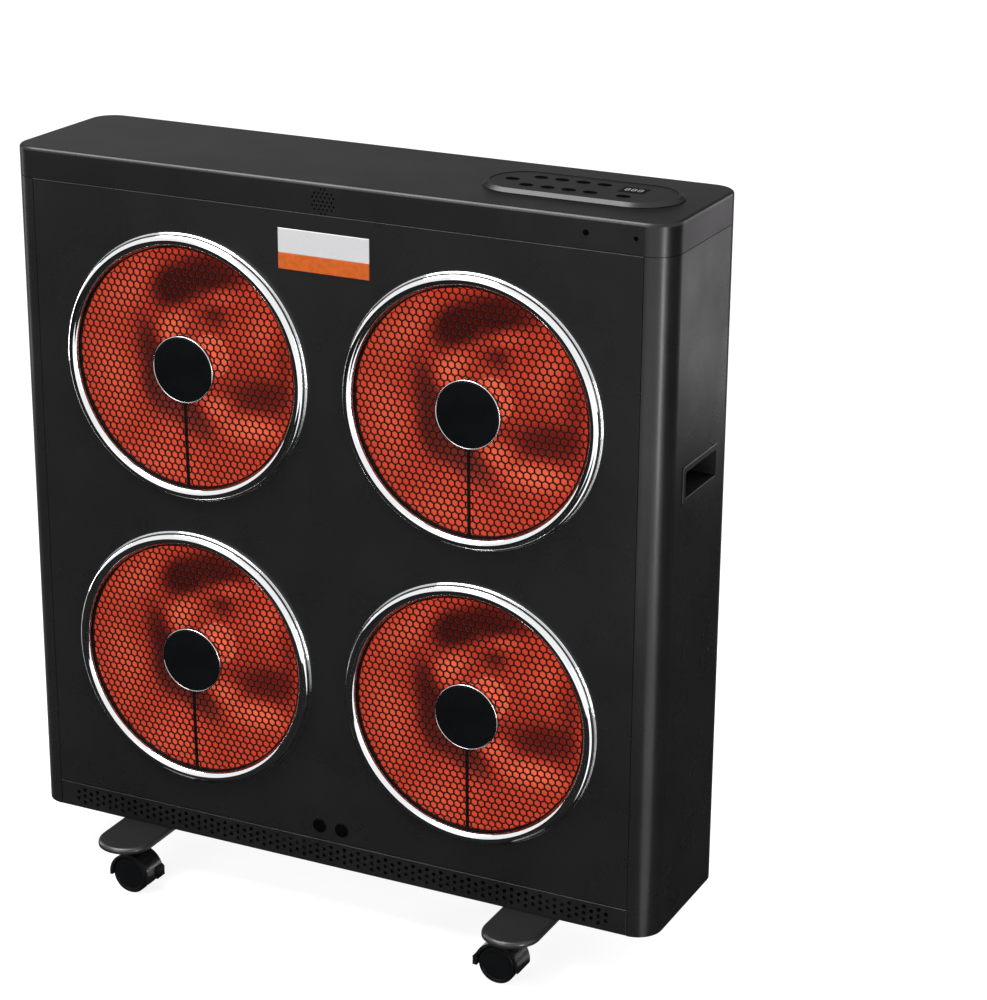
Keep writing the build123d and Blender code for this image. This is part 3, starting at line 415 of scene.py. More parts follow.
def make_glow_wall():
    """The inner walls of the guard's openings, black, with a painted glow that stands for the element's light
    washing over them.
    """
    shader = Shader("guard_wall_painted_glow", (0.010, 0.006, 0.005), 0.5)
    shader.set("Specular IOR Level", 0.1)
    shader.set("Emission Strength", 1.0)
    color = shader.ramp(shader.noise(18.0, 2.0), [(0.3, (0.050, 0.005, 0.003)), (0.7, (0.120, 0.012, 0.008))])
    shader.link(color, shader.main.inputs["Emission Color"])
    return shader.material


# Painted reflections of the turned dish, as light and dark streaks: place, turn, half sizes (shares of its
# radius), weight
DISH_PAINTED_REFLECTIONS = (
    ((0.10, 0.74), 18.0, (0.78, 0.28), -0.72),
    ((-0.30, 0.52), 60.0, (0.33, 0.25), -0.55),
    ((-0.50, -0.12), -78.0, (0.58, 0.19), -0.66),
    ((-0.24, -0.46), -32.0, (0.53, 0.19), -0.70),
    ((0.50, -0.26), 8.0, (0.60, 0.26), -0.42),
    ((0.78, 0.12), 84.0, (0.62, 0.23), -0.23),
    ((0.05, 0.36), 0.0, (0.22, 0.23), -0.33),
    ((-0.60, 0.56), 48.0, (0.52, 0.20), 0.22),
    ((-0.34, 0.22), 58.0, (0.36, 0.17), 0.42),
    ((0.12, 0.52), 28.0, (0.34, 0.13), 0.29),
    ((-0.80, -0.20), -76.0, (0.55, 0.18), 0.18),
    ((-0.30, -0.26), -55.0, (0.34, 0.12), 0.26),
    ((0.06, -0.42), 10.0, (0.26, 0.16), 0.35),
    ((0.44, -0.52), 8.0, (0.50, 0.17), 0.44),
    ((0.52, 0.30), 50.0, (0.40, 0.22), 0.18),
    ((-0.25, -0.86), -14.0, (0.50, 0.14), 0.11),
)
DISH_LEVEL = 0.54


def make_dish():
    """The spun dish, lit by the element: an orange-red painted glow that stands for the element's light,
    with streaks that are painted reflections, like those of a turned mirror, fixed in place; they don't
    follow the lamps."""
    shader = Shader("lit_dish", (0.10, 0.014, 0.008), 0.35, 1.0)
    total = None
    for place, turn, half, weight in DISH_PAINTED_REFLECTIONS:
        mapping = shader.node("ShaderNodeMapping", vector_type="TEXTURE")
        mapping.inputs["Location"].default_value = (place[0] * RING_INNER, place[1] * RING_INNER, 0)
        mapping.inputs["Rotation"].default_value = (0, 0, math.radians(turn))
        mapping.inputs["Scale"].default_value = (half[0] * RING_INNER, half[1] * RING_INNER, 1000)
        shader.link(shader.coordinates(), mapping.inputs["Vector"])
        blob = shader.node("ShaderNodeTexGradient", gradient_type="SPHERICAL")
        shader.link(mapping.outputs["Vector"], blob.inputs["Vector"])
        soft = shader.node("ShaderNodeMapRange", interpolation_type="SMOOTHSTEP")
        soft.inputs["To Max"].default_value = weight
        shader.link(blob.outputs["Fac"], soft.inputs["Value"])
        if total is None:
            total = soft.outputs["Result"]
        else:
            added = shader.node("ShaderNodeMath", operation="ADD")
            shader.link(total, added.inputs[0])
            shader.link(soft.outputs["Result"], added.inputs[1])
            total = added.outputs[0]
    ripple = shader.between(shader.noise(26.0, 3.0), DISH_LEVEL - 0.10, DISH_LEVEL + 0.10)
    level = shader.node("ShaderNodeMath", operation="ADD")
    shader.link(total, level.inputs[0])
    shader.link(ripple, level.inputs[1])
    # Colours of the painted glow on the dish, from dark red to orange
    color = shader.ramp(level.outputs[0], [
        (0.00, (0.045, 0.005, 0.004)),
        (0.25, (0.160, 0.013, 0.008)),
        (0.52, (0.500, 0.042, 0.019)),
        (1.00, (0.900, 0.150, 0.070)),
    ])
    shader.link(color, shader.main.inputs["Emission Color"])
    shader.set("Emission Strength", 1.0)
    return shader.material


def make_glow(name, inner, outer, strength, scale):
    """A glowing surface between two colours."""
    shader = Shader(name, outer, 0.7)
    color = shader.ramp(shader.noise(scale, 2.0), [(0.35, outer), (0.65, inner)])
    shader.link(color, shader.main.inputs["Emission Color"])
    shader.set("Emission Strength", strength)
    return shader.material


coat = make_satin("powder_coat", (0.046, 0.046, 0.0464), 0.78, 0.25, 0.31, 1400.0)
cap_plastic = make_satin("cap_plastic", (0.044, 0.0433, 0.044), 0.83, 0.27, 0.33, 2200.0)
chrome = make_chrome()
foot_grey = make_satin("foot_grey", (0.070, 0.068, 0.068), 0.74, 0.25, 0.33, 1500.0)
stoved_black = make_black("stoved_black", (0.0045, 0.0040, 0.0040), 0.35, 0.5, specular=0.06)
glow_wall = make_glow_wall()
gloss_black = make_black("centre_cap_black", (0.0030, 0.0036, 0.0042), 0.22, 0.32, 40.0, 0.00001, 0.05)
dish = make_dish()
coil_glow = make_glow("coil_glow", (0.72, 0.15, 0.07), (0.60, 0.09, 0.04), 1.0, 90.0)
core_glow = make_glow("core_glow", (0.62, 0.12, 0.05), (0.42, 0.06, 0.03), 1.0, 60.0)
handle_black = make_black("handle_black", (0.012, 0.012, 0.0125), 0.42, 0.55)
handle_grey = make_satin("handle_grey", (0.044, 0.044, 0.044), 0.80, 0.30, 0.38, 1800.0)
castor_hood = make_black("castor_hood", (0.007, 0.007, 0.0075), 0.20, 0.32, 60.0, specular=0.35)
castor_wheel = make_black("castor_wheel", (0.0040, 0.0048, 0.0052), 0.30, 0.42, 80.0, specular=0.08)
button_black = make_black("button_black", (0.0022, 0.0022, 0.0024), 0.30, 0.42, 90.0, specular=0.0)
faceplate = make_satin("faceplate", (0.040, 0.0393, 0.040), 0.86, 0.29, 0.36, 2200.0)
lens_dark = make_satin("lens_dark", (0.0065, 0.0055, 0.0065), 0.70, 0.06, 0.14, 900.0)
digit_grey = make_glow("digit_grey", (0.19, 0.19, 0.20), (0.15, 0.15, 0.16), 1.0, 300.0)
ceramic = make_black("socket_ceramic", (0.60, 0.57, 0.50), 0.5, 0.7, 120.0)
board_green = make_black("board_green", (0.01, 0.07, 0.03), 0.35, 0.5, 200.0)
steel = make_metal("plain_steel", (0.40, 0.40, 0.41), 0.30, 0.45, 400.0)
dish_back = make_metal("dish_back", (0.30, 0.30, 0.31), 0.40, 0.55, 200.0)
badge_silver = make_badge_silver()
badge_orange = make_black("badge_orange", (0.42, 0.080, 0.008), 0.40, 0.48, 200.0, grain=0.000004)


# Guarded heads


def build_ring(label):
    """The polished ring: thin flange lip, one rounded bead and the drop to the guard."""
    bead_outer = RING_OUTER - RING_LIP
    crest = RING_INNER + 0.5 * (bead_outer - RING_INNER)
    profile = [(RING_OUTER - 0.2 * MM, -1.0 * MM), (RING_OUTER, 0.2 * MM), (RING_OUTER, 0.8 * MM)]
    profile += arc((RING_OUTER - 0.6 * MM, 0.8 * MM), 0.6 * MM, 0, 100, 4)
    profile += [(bead_outer + 0.3 * MM, 1.2 * MM)]
    foot = (RING_INNER + 0.3 * MM, 1.6 * MM)
    profile += arc_through((bead_outer, 0.9 * MM), (crest, RING_HEIGHT), foot, 26)
    profile += [(RING_INNER, 1.0 * MM), (RING_INNER, -RING_SKIRT), (RING_INNER + RING_WALL, -RING_SKIRT)]
    profile += [(RING_INNER + RING_WALL, -1.0 * MM)]
    vertices, faces = lathe(profile, LARGE_TURN)
    return mesh_object(label, vertices, faces, chrome, "cabinet", TURNED_ANGLE)


def guard_height(x, y):
    """Height of the domed guard above its seat."""
    share = min(1.0, math.hypot(x, y) / MESH_RADIUS)
    return MESH_SEAT + MESH_DOME * (1 - share * share)


def build_guard(label):
    """The domed honeycomb of the guard, with ridged wires and open in the middle for the hub."""
    limit = MESH_RADIUS - MESH_RIM
    corner_radius = MESH_PITCH / math.sqrt(3)
    hole_share = 1 - MESH_WEB / MESH_PITCH
    ridge = 0.25 * MM
    vertices = []
    faces = []
    slots = []
    shared = {}

    def vertex(x, y, depth):
        vertices.append((x, y, guard_height(x, y) - depth))
        return len(vertices) - 1

    def corner(x, y):
        key = (round(x * 1e6 / 20), round(y * 1e6 / 20))
        if key not in shared:
            shared[key] = (vertex(x, y, -ridge), vertex(x, y, MESH_THICKNESS))
        return shared[key]

    def inside(x, y):
        distance = math.hypot(x, y)
        if distance > limit:
            return x * limit / distance, y * limit / distance
        return x, y

    reach = int(MESH_RADIUS / (MESH_PITCH * math.sqrt(3) / 2)) + 2
    for row in range(-reach, reach + 1):
        for column in range(-reach, reach + 1):
            cx = (column + (row % 2) / 2) * MESH_PITCH
            cy = row * MESH_PITCH * math.sqrt(3) / 2
            distance = math.hypot(cx, cy)
            if distance > limit + 0.15 * MESH_PITCH or distance < HUB_RADIUS - 0.6 * MESH_PITCH:
                continue
            ring = []
            for step in range(6):
                angle = math.radians(30 + 60 * step)
                x = cx + corner_radius * math.cos(angle)
                y = cy + corner_radius * math.sin(angle)
                ring.append(inside(x, y))
            mx = sum(point[0] for point in ring) / 6
            my = sum(point[1] for point in ring) / 6
            outer = [corner(x, y) for x, y in ring]
            hole = []
            for x, y in ring:
                hx = mx + (x - mx) * hole_share
                hy = my + (y - my) * hole_share
                hole.append((vertex(hx, hy, 0.0), vertex(hx, hy, MESH_THICKNESS)))
            for step in range(6):
                after = (step + 1) % 6
                if outer[step] == outer[after]:
                    continue
                faces.append((outer[step][0], outer[after][0], hole[after][0], hole[step][0]))
                faces.append((hole[step][0], hole[after][0], hole[after][1], hole[step][1]))
                faces.append((hole[step][1], hole[after][1], outer[after][1], outer[step][1]))
                # Web tops are black; hole walls and undersides get the painted glow of the element's light
                slots += [0, 1, 1]
    return mesh_object(label, vertices, faces, None, "cabinet", 0, slots, [stoved_black, glow_wall])


def build_guard_rim(label):
    """The rolled rim of the guard."""
    inner = MESH_RADIUS - MESH_RIM
    top = guard_height(MESH_RADIUS, 0)
    profile = [(inner - 0.2 * MM, top - MESH_THICKNESS), (MESH_RADIUS, top - MESH_THICKNESS),
               (MESH_RADIUS, top + 0.3 * MM), (inner, top + 0.35 * MM)]
    vertices, faces = lathe(profile, LARGE_TURN)
    return mesh_object(label, vertices, faces, stoved_black, "cabinet", 30.0)


def build_stay(label):
    """The upright stay that carries the centre cap, a shallow channel down to the ring."""
    half = STAY_WIDTH / 2
    groove = 0.35 * STAY_WIDTH / 2
    steps = 24
    section = ((-half, -0.6), (-half, 0.7), (-groove, 0.7), (0, 0.1),
               (groove, 0.7), (half, 0.7), (half, -0.6))
    vertices = []
    faces = []
    for step in range(steps + 1):
        y = -(HUB_RADIUS + (MESH_RADIUS - HUB_RADIUS) * step / steps)
        height = guard_height(0, y)
        for x, lift in section:
            vertices.append((x, y, height + lift * MM))
    width = len(section)
    for step in range(steps):
        for side in range(width - 1):
            first = step * width + side
            faces.append((first, first + 1, first + 1 + width, first + width))
    return mesh_object(label, vertices, faces, stoved_black, "cabinet", 25.0)


def build_centre_cap(label):
    """The black disc in the middle, softly rounded at its edge."""
    base = guard_height(0, 0)
    top = base + HUB_HEIGHT
    radius = HUB_RADIUS - HUB_RIM
    profile = [(radius, base - MESH_THICKNESS), (radius, top - 1.0 * MM)]
    profile += arc((radius - 1.0 * MM, top - 1.0 * MM), 1.0 * MM, 15, 90, 5)
    profile += [(radius * 0.6, top + 0.15 * MM), (radius * 0.2, top + 0.2 * MM)]
    vertices, faces = disc_cap(profile, HUB_TURN)
    return mesh_object(label, vertices, faces, gloss_black, "cabinet", TURNED_ANGLE)


def build_centre_rim(label):
    """The bright rim round the disc."""
    base = guard_height(HUB_RADIUS, 0)
    inner = HUB_RADIUS - HUB_RIM
    top = guard_height(0, 0) + HUB_HEIGHT
    profile = [(HUB_RADIUS + 0.5 * MM, base - 0.4 * MM), (HUB_RADIUS + 0.2 * MM, top - 1.4 * MM)]
    profile += arc((HUB_RADIUS - 0.5 * MM, top - 1.2 * MM), 0.7 * MM, 10, 170, 8)
    profile += [(inner, base - 0.4 * MM)]
    vertices, faces = lathe(profile, HUB_TURN)
    return mesh_object(label, vertices, faces, chrome, "cabinet", TURNED_ANGLE)


def build_dish(label):
    """The spun dish with a rolled edge under the ring and a step at the neck."""
    rim = RING_INNER - 2.0 * MM
    bottom = DISH_TOP - DISH_DEPTH
    middle = ((rim + DISH_NECK) / 2 + 8 * MM, DISH_TOP - DISH_DEPTH * 0.72)
    inside = arc_through((rim, DISH_TOP), middle, (DISH_NECK, bottom), 30)
    outside = [(radius + DISH_SHEET, height - DISH_SHEET) for radius, height in reversed(inside)]
    flange = rim + DISH_FLANGE
    profile = [(flange, DISH_TOP)] + inside + outside + [(flange, DISH_TOP - DISH_SHEET)]
    vertices, faces = lathe(profile, DISH_TURN)
    front = (len(inside) + 1) * DISH_TURN
    slots = [0] * front + [1] * (len(faces) - front)
    return mesh_object(label, vertices, faces, dish, "cabinet", 60.0, slots, [dish, dish_back])


def build_element(label):
    """The element: a grooved ceramic core closed at its tip."""
    bottom = DISH_TOP - DISH_DEPTH - 1.0 * MM
    tip = bottom + COIL_LENGTH + 1.5 * MM
    core = COIL_RADIUS - COIL_WIRE
    profile = [(DISH_NECK, bottom - 0.5 * MM), (DISH_NECK, bottom + 1.2 * MM)]
    profile += [(core + 2 * MM, bottom + 2.0 * MM)]
    steps = COIL_TURNS * 6
    for step in range(steps + 1):
        height = bottom + 3 * MM + (COIL_LENGTH - 6 * MM) * step / steps
        profile.append((core - 0.5 * MM + 0.4 * MM * math.cos(2 * math.pi * step / 6), height))
    profile += arc((core - 3 * MM, tip - 3 * MM), 3 * MM, 0, 80, 5)
    vertices, faces = disc_cap(profile, CORE_TURN)
    return mesh_object(label, vertices, faces, core_glow, "cabinet", 50.0)


def build_coil(label):
    """The resistance winding round the core."""
    bottom = DISH_TOP - DISH_DEPTH + 3.5 * MM
    length = COIL_LENGTH - 8 * MM
    around = 8
    steps = COIL_TURNS * 40
    vertices = []
    faces = []
    for step in range(steps + 1):
        angle = 2 * math.pi * COIL_TURNS * step / steps
        height = bottom + length * step / steps
        for side in range(around):
            turn = 2 * math.pi * side / around
            radius = COIL_RADIUS + COIL_WIRE * math.cos(turn)
            lift = COIL_WIRE * math.sin(turn)
            vertices.append((radius * math.cos(angle), radius * math.sin(angle), height + lift))
    for step in range(steps):
        for side in range(around):
            after = (side + 1) % around
            first = step * around
            faces.append((first + side, first + after, first + around + after, first + around + side))
    faces.append(tuple(range(around)))
    faces.append(tuple(reversed(range(steps * around, (steps + 1) * around))))
    return mesh_object(label, vertices, faces, coil_glow, "cabinet", 60.0)


def build_heads():
    """The nine pieces of a guarded head, each four times over."""
    for_every_head("ring", build_ring, "trim_ring_{}")
    for_every_head("guard", build_guard, "guard_grille_{}")
    for_every_head("guard_rim", build_guard_rim)
    for_every_head("guard_stay", build_stay)
    for_every_head("centre_cap", build_centre_cap, "centre_caps")
    for_every_head("centre_rim", build_centre_rim, "centre_rims")
    for_every_head("dish", build_dish, "reflector_{}")
    for_every_head("element", build_element, "heating_elements")
    for_every_head("coil", build_coil)


# Cabinet


def rectangle(x0, x1, y0, y1):
    """Corners of an upright rectangle, from the lower left one round."""
    return [(x0, y0), (x1, y0), (x1, y1), (x0, y1)]


def plate_with_holes(cells, hole_radius, face_y, depth):
    """A plate in the XZ plane tiled by rectangles, some with a round hole in the middle.
    Each cell is (x0, x1, z0, z1, has_hole)."""
    vertices = []
    faces = []
    index = {}

    def vertex(x, y, z):
        key = (round(x * 1e6), round(y * 1e6), round(z * 1e6))
        if key not in index:
            index[key] = len(vertices)
            vertices.append((x, y, z))
        return index[key]

    back_y = face_y + depth
    for x0, x1, z0, z1, has_hole in cells:
        cx, cz = (x0 + x1) / 2, (z0 + z1) / 2
        corners = [(x1, z1), (x0, z1), (x0, z0), (x1, z0)]
        if not has_hole:
            faces.append(tuple(vertex(x, face_y, z) for x, z in reversed(corners)))
            continue
        per_side = HOLE_SIDES // 4
        circle = []
        for step in range(HOLE_SIDES):
            angle = math.pi / 4 + 2 * math.pi * step / HOLE_SIDES
            circle.append((cx + hole_radius * math.cos(angle), cz + hole_radius * math.sin(angle)))
        for side in range(4):
            points = [circle[(side * per_side + step) % HOLE_SIDES] for step in range(per_side + 1)]
            loop = [corners[side]] + points + [corners[(side + 1) % 4]]
            faces.append(tuple(vertex(x, face_y, z) for x, z in reversed(loop)))
            for first, second in zip(points, points[1:]):
                faces.append((vertex(first[0], face_y, first[1]), vertex(second[0], face_y, second[1]),
                              vertex(second[0], back_y, second[1]), vertex(first[0], back_y, first[1])))
    return vertices, faces


def strip_cells():
    """Columns of three and two holes in turn, and the plain margins."""
    low_z = strip_low.z + STRIP_EDGE
    high_z = strip_high.z - STRIP_EDGE
    middle_z = (low_z + high_z) / 2 + 0.6 * MM
    count = int((strip_high.x - STRIP_MARGIN) / STRIP_COLUMN_PITCH)
    half = STRIP_COLUMN_PITCH / 2
    cells = []
    for column in range(-count, count + 1):
        x = column * STRIP_COLUMN_PITCH
        rows = (-1, 0, 1) if column % 2 == 0 else (-0.5, 0.5)
        z = low_z
        for row in rows:
            bottom = middle_z + (row - 0.5) * STRIP_ROW_PITCH
            if bottom - z > 1e-6:
                cells.append((x - half, x + half, z, bottom, False))
            z = bottom + STRIP_ROW_PITCH
            cells.append((x - half, x + half, bottom, z, True))
        cells.append((x - half, x + half, z, high_z, False))
    edge = (count + 0.5) * STRIP_COLUMN_PITCH
    cells.append((strip_low.x + STRIP_EDGE, -edge, low_z, high_z, False))
    cells.append((edge, strip_high.x - STRIP_EDGE, low_z, high_z, False))
    return cells


def build_strip():
    """The perforated intake strip with a rolled edge; the walls of its holes are black, as painted shade
    inside the holes.
    """
    vertices, faces = plate_with_holes(strip_cells(), STRIP_HOLE_RADIUS, FRONT_Y, STRIP_DEPTH)
    inner = rectangle(strip_low.x + STRIP_EDGE, strip_high.x - STRIP_EDGE,
                      strip_low.z + STRIP_EDGE, strip_high.z - STRIP_EDGE)
    outer = rectangle(strip_low.x, strip_high.x, strip_low.z, strip_high.z)
    start = len(vertices)
    vertices += [(x, FRONT_Y, z) for x, z in inner]
    vertices += [(x, FRONT_Y + STRIP_EDGE, z) for x, z in outer]
    vertices += [(x, FRONT_Y + STRIP_DEPTH, z) for x, z in outer]
    for ring in (0, 4):
        for side in range(4):
            after = (side + 1) % 4
            near = start + ring
            faces.append((near + side, near + 4 + side, near + 4 + after, near + after))
    # Hole walls inside the strip take the black paint: painted shade in the holes
    slots = []
    for face in faces:
        first = vertices[face[0]]
        last = vertices[face[-1]]
        walls = abs(first[1] - last[1]) > 0.5 * STRIP_DEPTH
        inside = strip_low.z + STRIP_HOLE_RADIUS < first[2] < strip_high.z - STRIP_HOLE_RADIUS
        slots.append(1 if walls and inside else 0)
    coat_and_hole_shade = [coat, stoved_black]
    piece = mesh_object("intake_strip", vertices, faces, coat, "cabinet", EDGE_ANGLE, slots, coat_and_hole_shade)
    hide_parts("intake_grille")


def build_badge():
    """The bare plate: a satin upper field and an orange lower band, each with a bevelled edge."""
    low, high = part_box("badge_plate")
    split = low.z + BADGE_SPLIT * (high.z - low.z)
    edge = BADGE_EDGE
    front = low.y
    back = high.y
    fields = (("badge_upper", split, high.z, badge_silver), ("badge_lower", low.z, split, badge_orange))
    for name, z0, z1, material in fields:
        outline = rectangle(low.x, high.x, z0, z1)
        inner = rectangle(low.x + edge, high.x - edge, z0 + edge, z1 - edge)
        vertices = [(x, back, z) for x, z in outline]
        vertices += [(x, front + 0.3 * MM, z) for x, z in outline]
        vertices += [(x, front, z) for x, z in inner]
        faces = [(3, 2, 1, 0), (8, 9, 10, 11)]
        for ring in (0, 4):
            for side in range(4):
                after = (side + 1) % 4
                faces.append((ring + side, ring + after, ring + 4 + after, ring + 4 + side))
        piece = mesh_object(name, vertices, faces, material, "cabinet", EDGE_ANGLE)
        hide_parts("badge_plate")


def build_digits():
    """Three seven-bar digits, all bars lit, raised by a hair on the display window's face."""
    low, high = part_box("display_window")
    middle = (low + high) / 2
    middle.y += DISPLAY_TO - DISPLAY_FROM
    bottom = high.z
    top = high.z + 0.1 * MM
    vertices = []
    faces = []
    for place in (-1, 0, 1):
        for (ax, ay), (bx, by) in DIGIT_BARS:
            along_x = ay == by
            x0 = middle.x + place * DIGIT_PITCH + ax * DIGIT_HALF_WIDTH
            x1 = middle.x + place * DIGIT_PITCH + bx * DIGIT_HALF_WIDTH
            y0 = middle.y + ay * DIGIT_HALF_HEIGHT
            y1 = middle.y + by * DIGIT_HALF_HEIGHT
            if along_x:
                x0, x1, y0, y1 = x0 + DIGIT_GAP, x1 - DIGIT_GAP, y0 - DIGIT_BAR, y1 + DIGIT_BAR
            else:
                x0, x1, y0, y1 = x0 - DIGIT_BAR, x1 + DIGIT_BAR, y0 + DIGIT_GAP, y1 - DIGIT_GAP
            start = len(vertices)
            outline = rectangle(x0, x1, y0, y1)
            vertices += [(x, y, bottom) for x, y in outline] + [(x, y, top) for x, y in outline]
            faces.append((start + 3, start + 2, start + 1, start))
            faces.append((start + 4, start + 5, start + 6, start + 7))
            for side in range(4):
                after = (side + 1) % 4
                faces.append((start + side, start + after, start + 4 + after, start + 4 + side))
    mesh_object("display_digits", vertices, faces, digit_grey, "cabinet", 0)


def rod(name, start, end, radius, material, sides=8):
    """A thin round bead between two points."""
    ahead = (Vector(end) - Vector(start)).normalized()
    across = ahead.orthogonal().normalized()
    other = ahead.cross(across)
    vertices = []
    for point in (start, end):
        for side in range(sides):
            angle = 2 * math.pi * side / sides
            outward = math.cos(angle) * across + math.sin(angle) * other
            vertices.append(Vector(point) + radius * outward)
    faces = [(side, (side + 1) % sides, sides + (side + 1) % sides, sides + side) for side in range(sides)]
    faces += [tuple(reversed(range(sides))), tuple(range(sides, 2 * sides))]
    return mesh_object(name, vertices, faces, material, "cabinet", 60.0)


def build_beads():
    """Rolled edges that catch the light: under the cap's seam, on the strip, in the grips."""
    radius = BEAD_RADIUS
    y = FRONT_Y + 0.2 * MM
    seams = (("panel_top_bead", panel_low, panel_high), ("strip_top_bead", strip_low, strip_high))
    for name, low, high in seams:
        z = high.z - radius
        rod(name, (low.x, y, z), (high.x, y, z), radius, coat)
    for side in ("left", "right"):
        low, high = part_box(f"handle_{side}")
        x = low.x + radius if side == "left" else high.x - radius
        z = low.z + GRIP_MARGIN
        start = (x, low.y + GRIP_MARGIN, z)
        end = (x, high.y - GRIP_MARGIN, z)
        rod(f"grip_lip_{side}", start, end, radius, handle_grey)


def reshape(name, move, material):
    """A copy of a CAD piece with some of its outlines moved; it stands in for the node."""
    node = nodes[name]
    mesh = node.data.copy()
    mesh.name = f"{name}_shaped"
    there = node.matrix_world.copy()
    back = there.inverted()
    for vertex in mesh.vertices:
        vertex.co = back @ Vector(move(there @ vertex.co))
    mesh.materials.clear()
    mesh.materials.append(material)
    shade(mesh, NODE_ANGLE)
    piece = bpy.data.objects.new(f"{name}_shaped", mesh)
    bpy.context.scene.collection.objects.link(piece)
    piece.matrix_world = node.matrix_world.copy()
    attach(piece, "cabinet")
    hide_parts(name)


def pad_move(point):
    """Slims the control pad: its outlines keep their bevels and follow a longer, narrower oval."""
    x, y, z = point
    middle = PAD_MIDDLE
    along = x - middle
    side = 1 if along > 0 else -1
    past = max(abs(along) - PAD_CORE, 0.0)
    reach = math.hypot(past, y)
    inside_pad = z > PAD_FLOOR and PAD_EDGE_FROM < reach < PAD_EDGE_TO
    if inside_pad and abs(along) > PAD_CORE - 0.2 * MM:
        share = (reach - PAD_SLIMMER) / reach
        return middle + side * (PAD_CORE + PAD_LONGER + past * share), y * share, z
    if abs(along - DISPLAY_ALONG) < DISPLAY_REACH_X and abs(y - DISPLAY_FROM) < DISPLAY_REACH_Y:
        return display_move(middle, along, y, z)
    return x, y, z


def display_move(middle, along, y, z):
    """Squares the display window: the side points go in and the corners go out."""
    across = along - DISPLAY_ALONG
    rise = y - DISPLAY_FROM
    side = 1 if across > 0 else -1
    if abs(rise) < 2 * MM:
        grow = abs(across) - DISPLAY_HALF_OLD
        return middle + DISPLAY_ALONG + side * (DISPLAY_HALF_LENGTH + grow), DISPLAY_TO, z
    grow = abs(rise) - DISPLAY_HALF_OLD / 2
    up = 1 if rise > 0 else -1
    new_x = middle + DISPLAY_ALONG + side * (DISPLAY_HALF_LENGTH + grow)
    return new_x, DISPLAY_TO + up * (DISPLAY_HALF_WIDTH + grow), z


def build_pad():
    """The cap, faceplate and window with the slim pad."""
    reshape("top_cap", pad_move, cap_plastic)
    reshape("control_plate", pad_move, faceplate)
    reshape("display_window", pad_move, lens_dark)


def dress_nodes():
    """Materials for the CAD nodes that stay."""
    finish = {
        "top_cap": cap_plastic,
        "front_panel": coat,
        "rear_panel": coat,
        "base_plate": coat,
        "side_panel_left": coat,
        "side_panel_right": coat,
        "foot_bar_left": foot_grey,
        "foot_bar_right": foot_grey,
        "handle_left": handle_grey,
        "handle_right": handle_grey,
        "control_plate": faceplate,
        "display_window": lens_dark,
        "control_board": board_green,
        "power_board": board_green,
        "speaker": handle_black,
        "sensor_windows": lens_dark,
        "element_sockets": ceramic,
        "tip_switch_housing": handle_black,
        "tip_switch_pendulum": steel,
        "cable_gland": handle_black,
        "screws": steel,
        "badge_plate": badge_silver,
    }
    for name, node in nodes.items():
        if name.startswith("castor_housing") or name.startswith("brake_pedal"):
            material = castor_hood
        elif name.startswith("castor_wheels"):
            material = castor_wheel
        elif name.startswith("button"):
            material = button_black
        elif name in finish:
            material = finish[name]
        else:
            continue
        node.data.materials.clear()
        node.data.materials.append(material)
        shade(node.data, NODE_ANGLE)


# Floor, light and camera


def seen_directly(shader_tree):
    """1 for camera, glossy and transmission rays, 0 for the rest."""
    path = shader_tree.nodes.new("ShaderNodeLightPath")
    total = path.outputs["Is Camera Ray"]
    for name in ("Is Glossy Ray", "Is Transmission Ray"):
        added = shader_tree.nodes.new("ShaderNodeMath")
        added.operation = "MAXIMUM"
        shader_tree.links.new(total, added.inputs[0])
        shader_tree.links.new(path.outputs[name], added.inputs[1])
        total = added.outputs[0]
    return total


def stage_plane(name, corners, material):
    """One flat piece of the studio."""
    mesh = bpy.data.meshes.new(name)
    mesh.from_pydata(corners, [], [(0, 1, 2, 3)])
    mesh.materials.append(material)
    plane = bpy.data.objects.new(name, mesh)
    bpy.context.scene.collection.objects.link(plane)
    return plane


def build_stage():
    """A large pale floor that keeps a soft shadow and turns plain white farther out."""
    shader = Shader("pale_floor", (0.92, 0.92, 0.92), 0.9)
    shader.set("Specular IOR Level", 0.0)
    shader.vary_color((0.91, 0.91, 0.91), (0.93, 0.93, 0.93), 3.0)
    away = shader.node("ShaderNodeVectorMath", operation="LENGTH")
    shader.link(shader.coordinates(), away.inputs[0])
    level = shader.node("ShaderNodeMapRange")
    level.inputs["From Min"].default_value = FLOOR_NEAR
    level.inputs["From Max"].default_value = FLOOR_FAR
    level.inputs["To Min"].default_value = FLOOR_NEAR_WHITE
    level.inputs["To Max"].default_value = FLOOR_FAR_WHITE
    shader.link(away.outputs["Value"], level.inputs["Value"])
    lit = shader.node("ShaderNodeEmission")
    lit.inputs["Color"].default_value = (1, 1, 1, 1)
    shader.link(level.outputs["Result"], lit.inputs["Strength"])
    mix = shader.node("ShaderNodeMixShader")
    share = shader.node("ShaderNodeMath", operation="MULTIPLY")
    share.inputs[1].default_value = FLOOR_WHITE_SHARE
    shader.link(seen_directly(shader.tree), share.inputs[0])
    shader.link(share.outputs[0], mix.inputs["Fac"])
    shader.link(shader.main.outputs[0], mix.inputs[1])
    shader.link(lit.outputs[0], mix.inputs[2])
    shader.link(mix.outputs[0], shader.tree.nodes["Material Output"].inputs["Surface"])
    corners = [(x, y, 0) for x, y in rectangle(-FLOOR_HALF, FLOOR_HALF, -FLOOR_HALF, FLOOR_HALF)]
    stage_plane("floor", corners, shader.material)


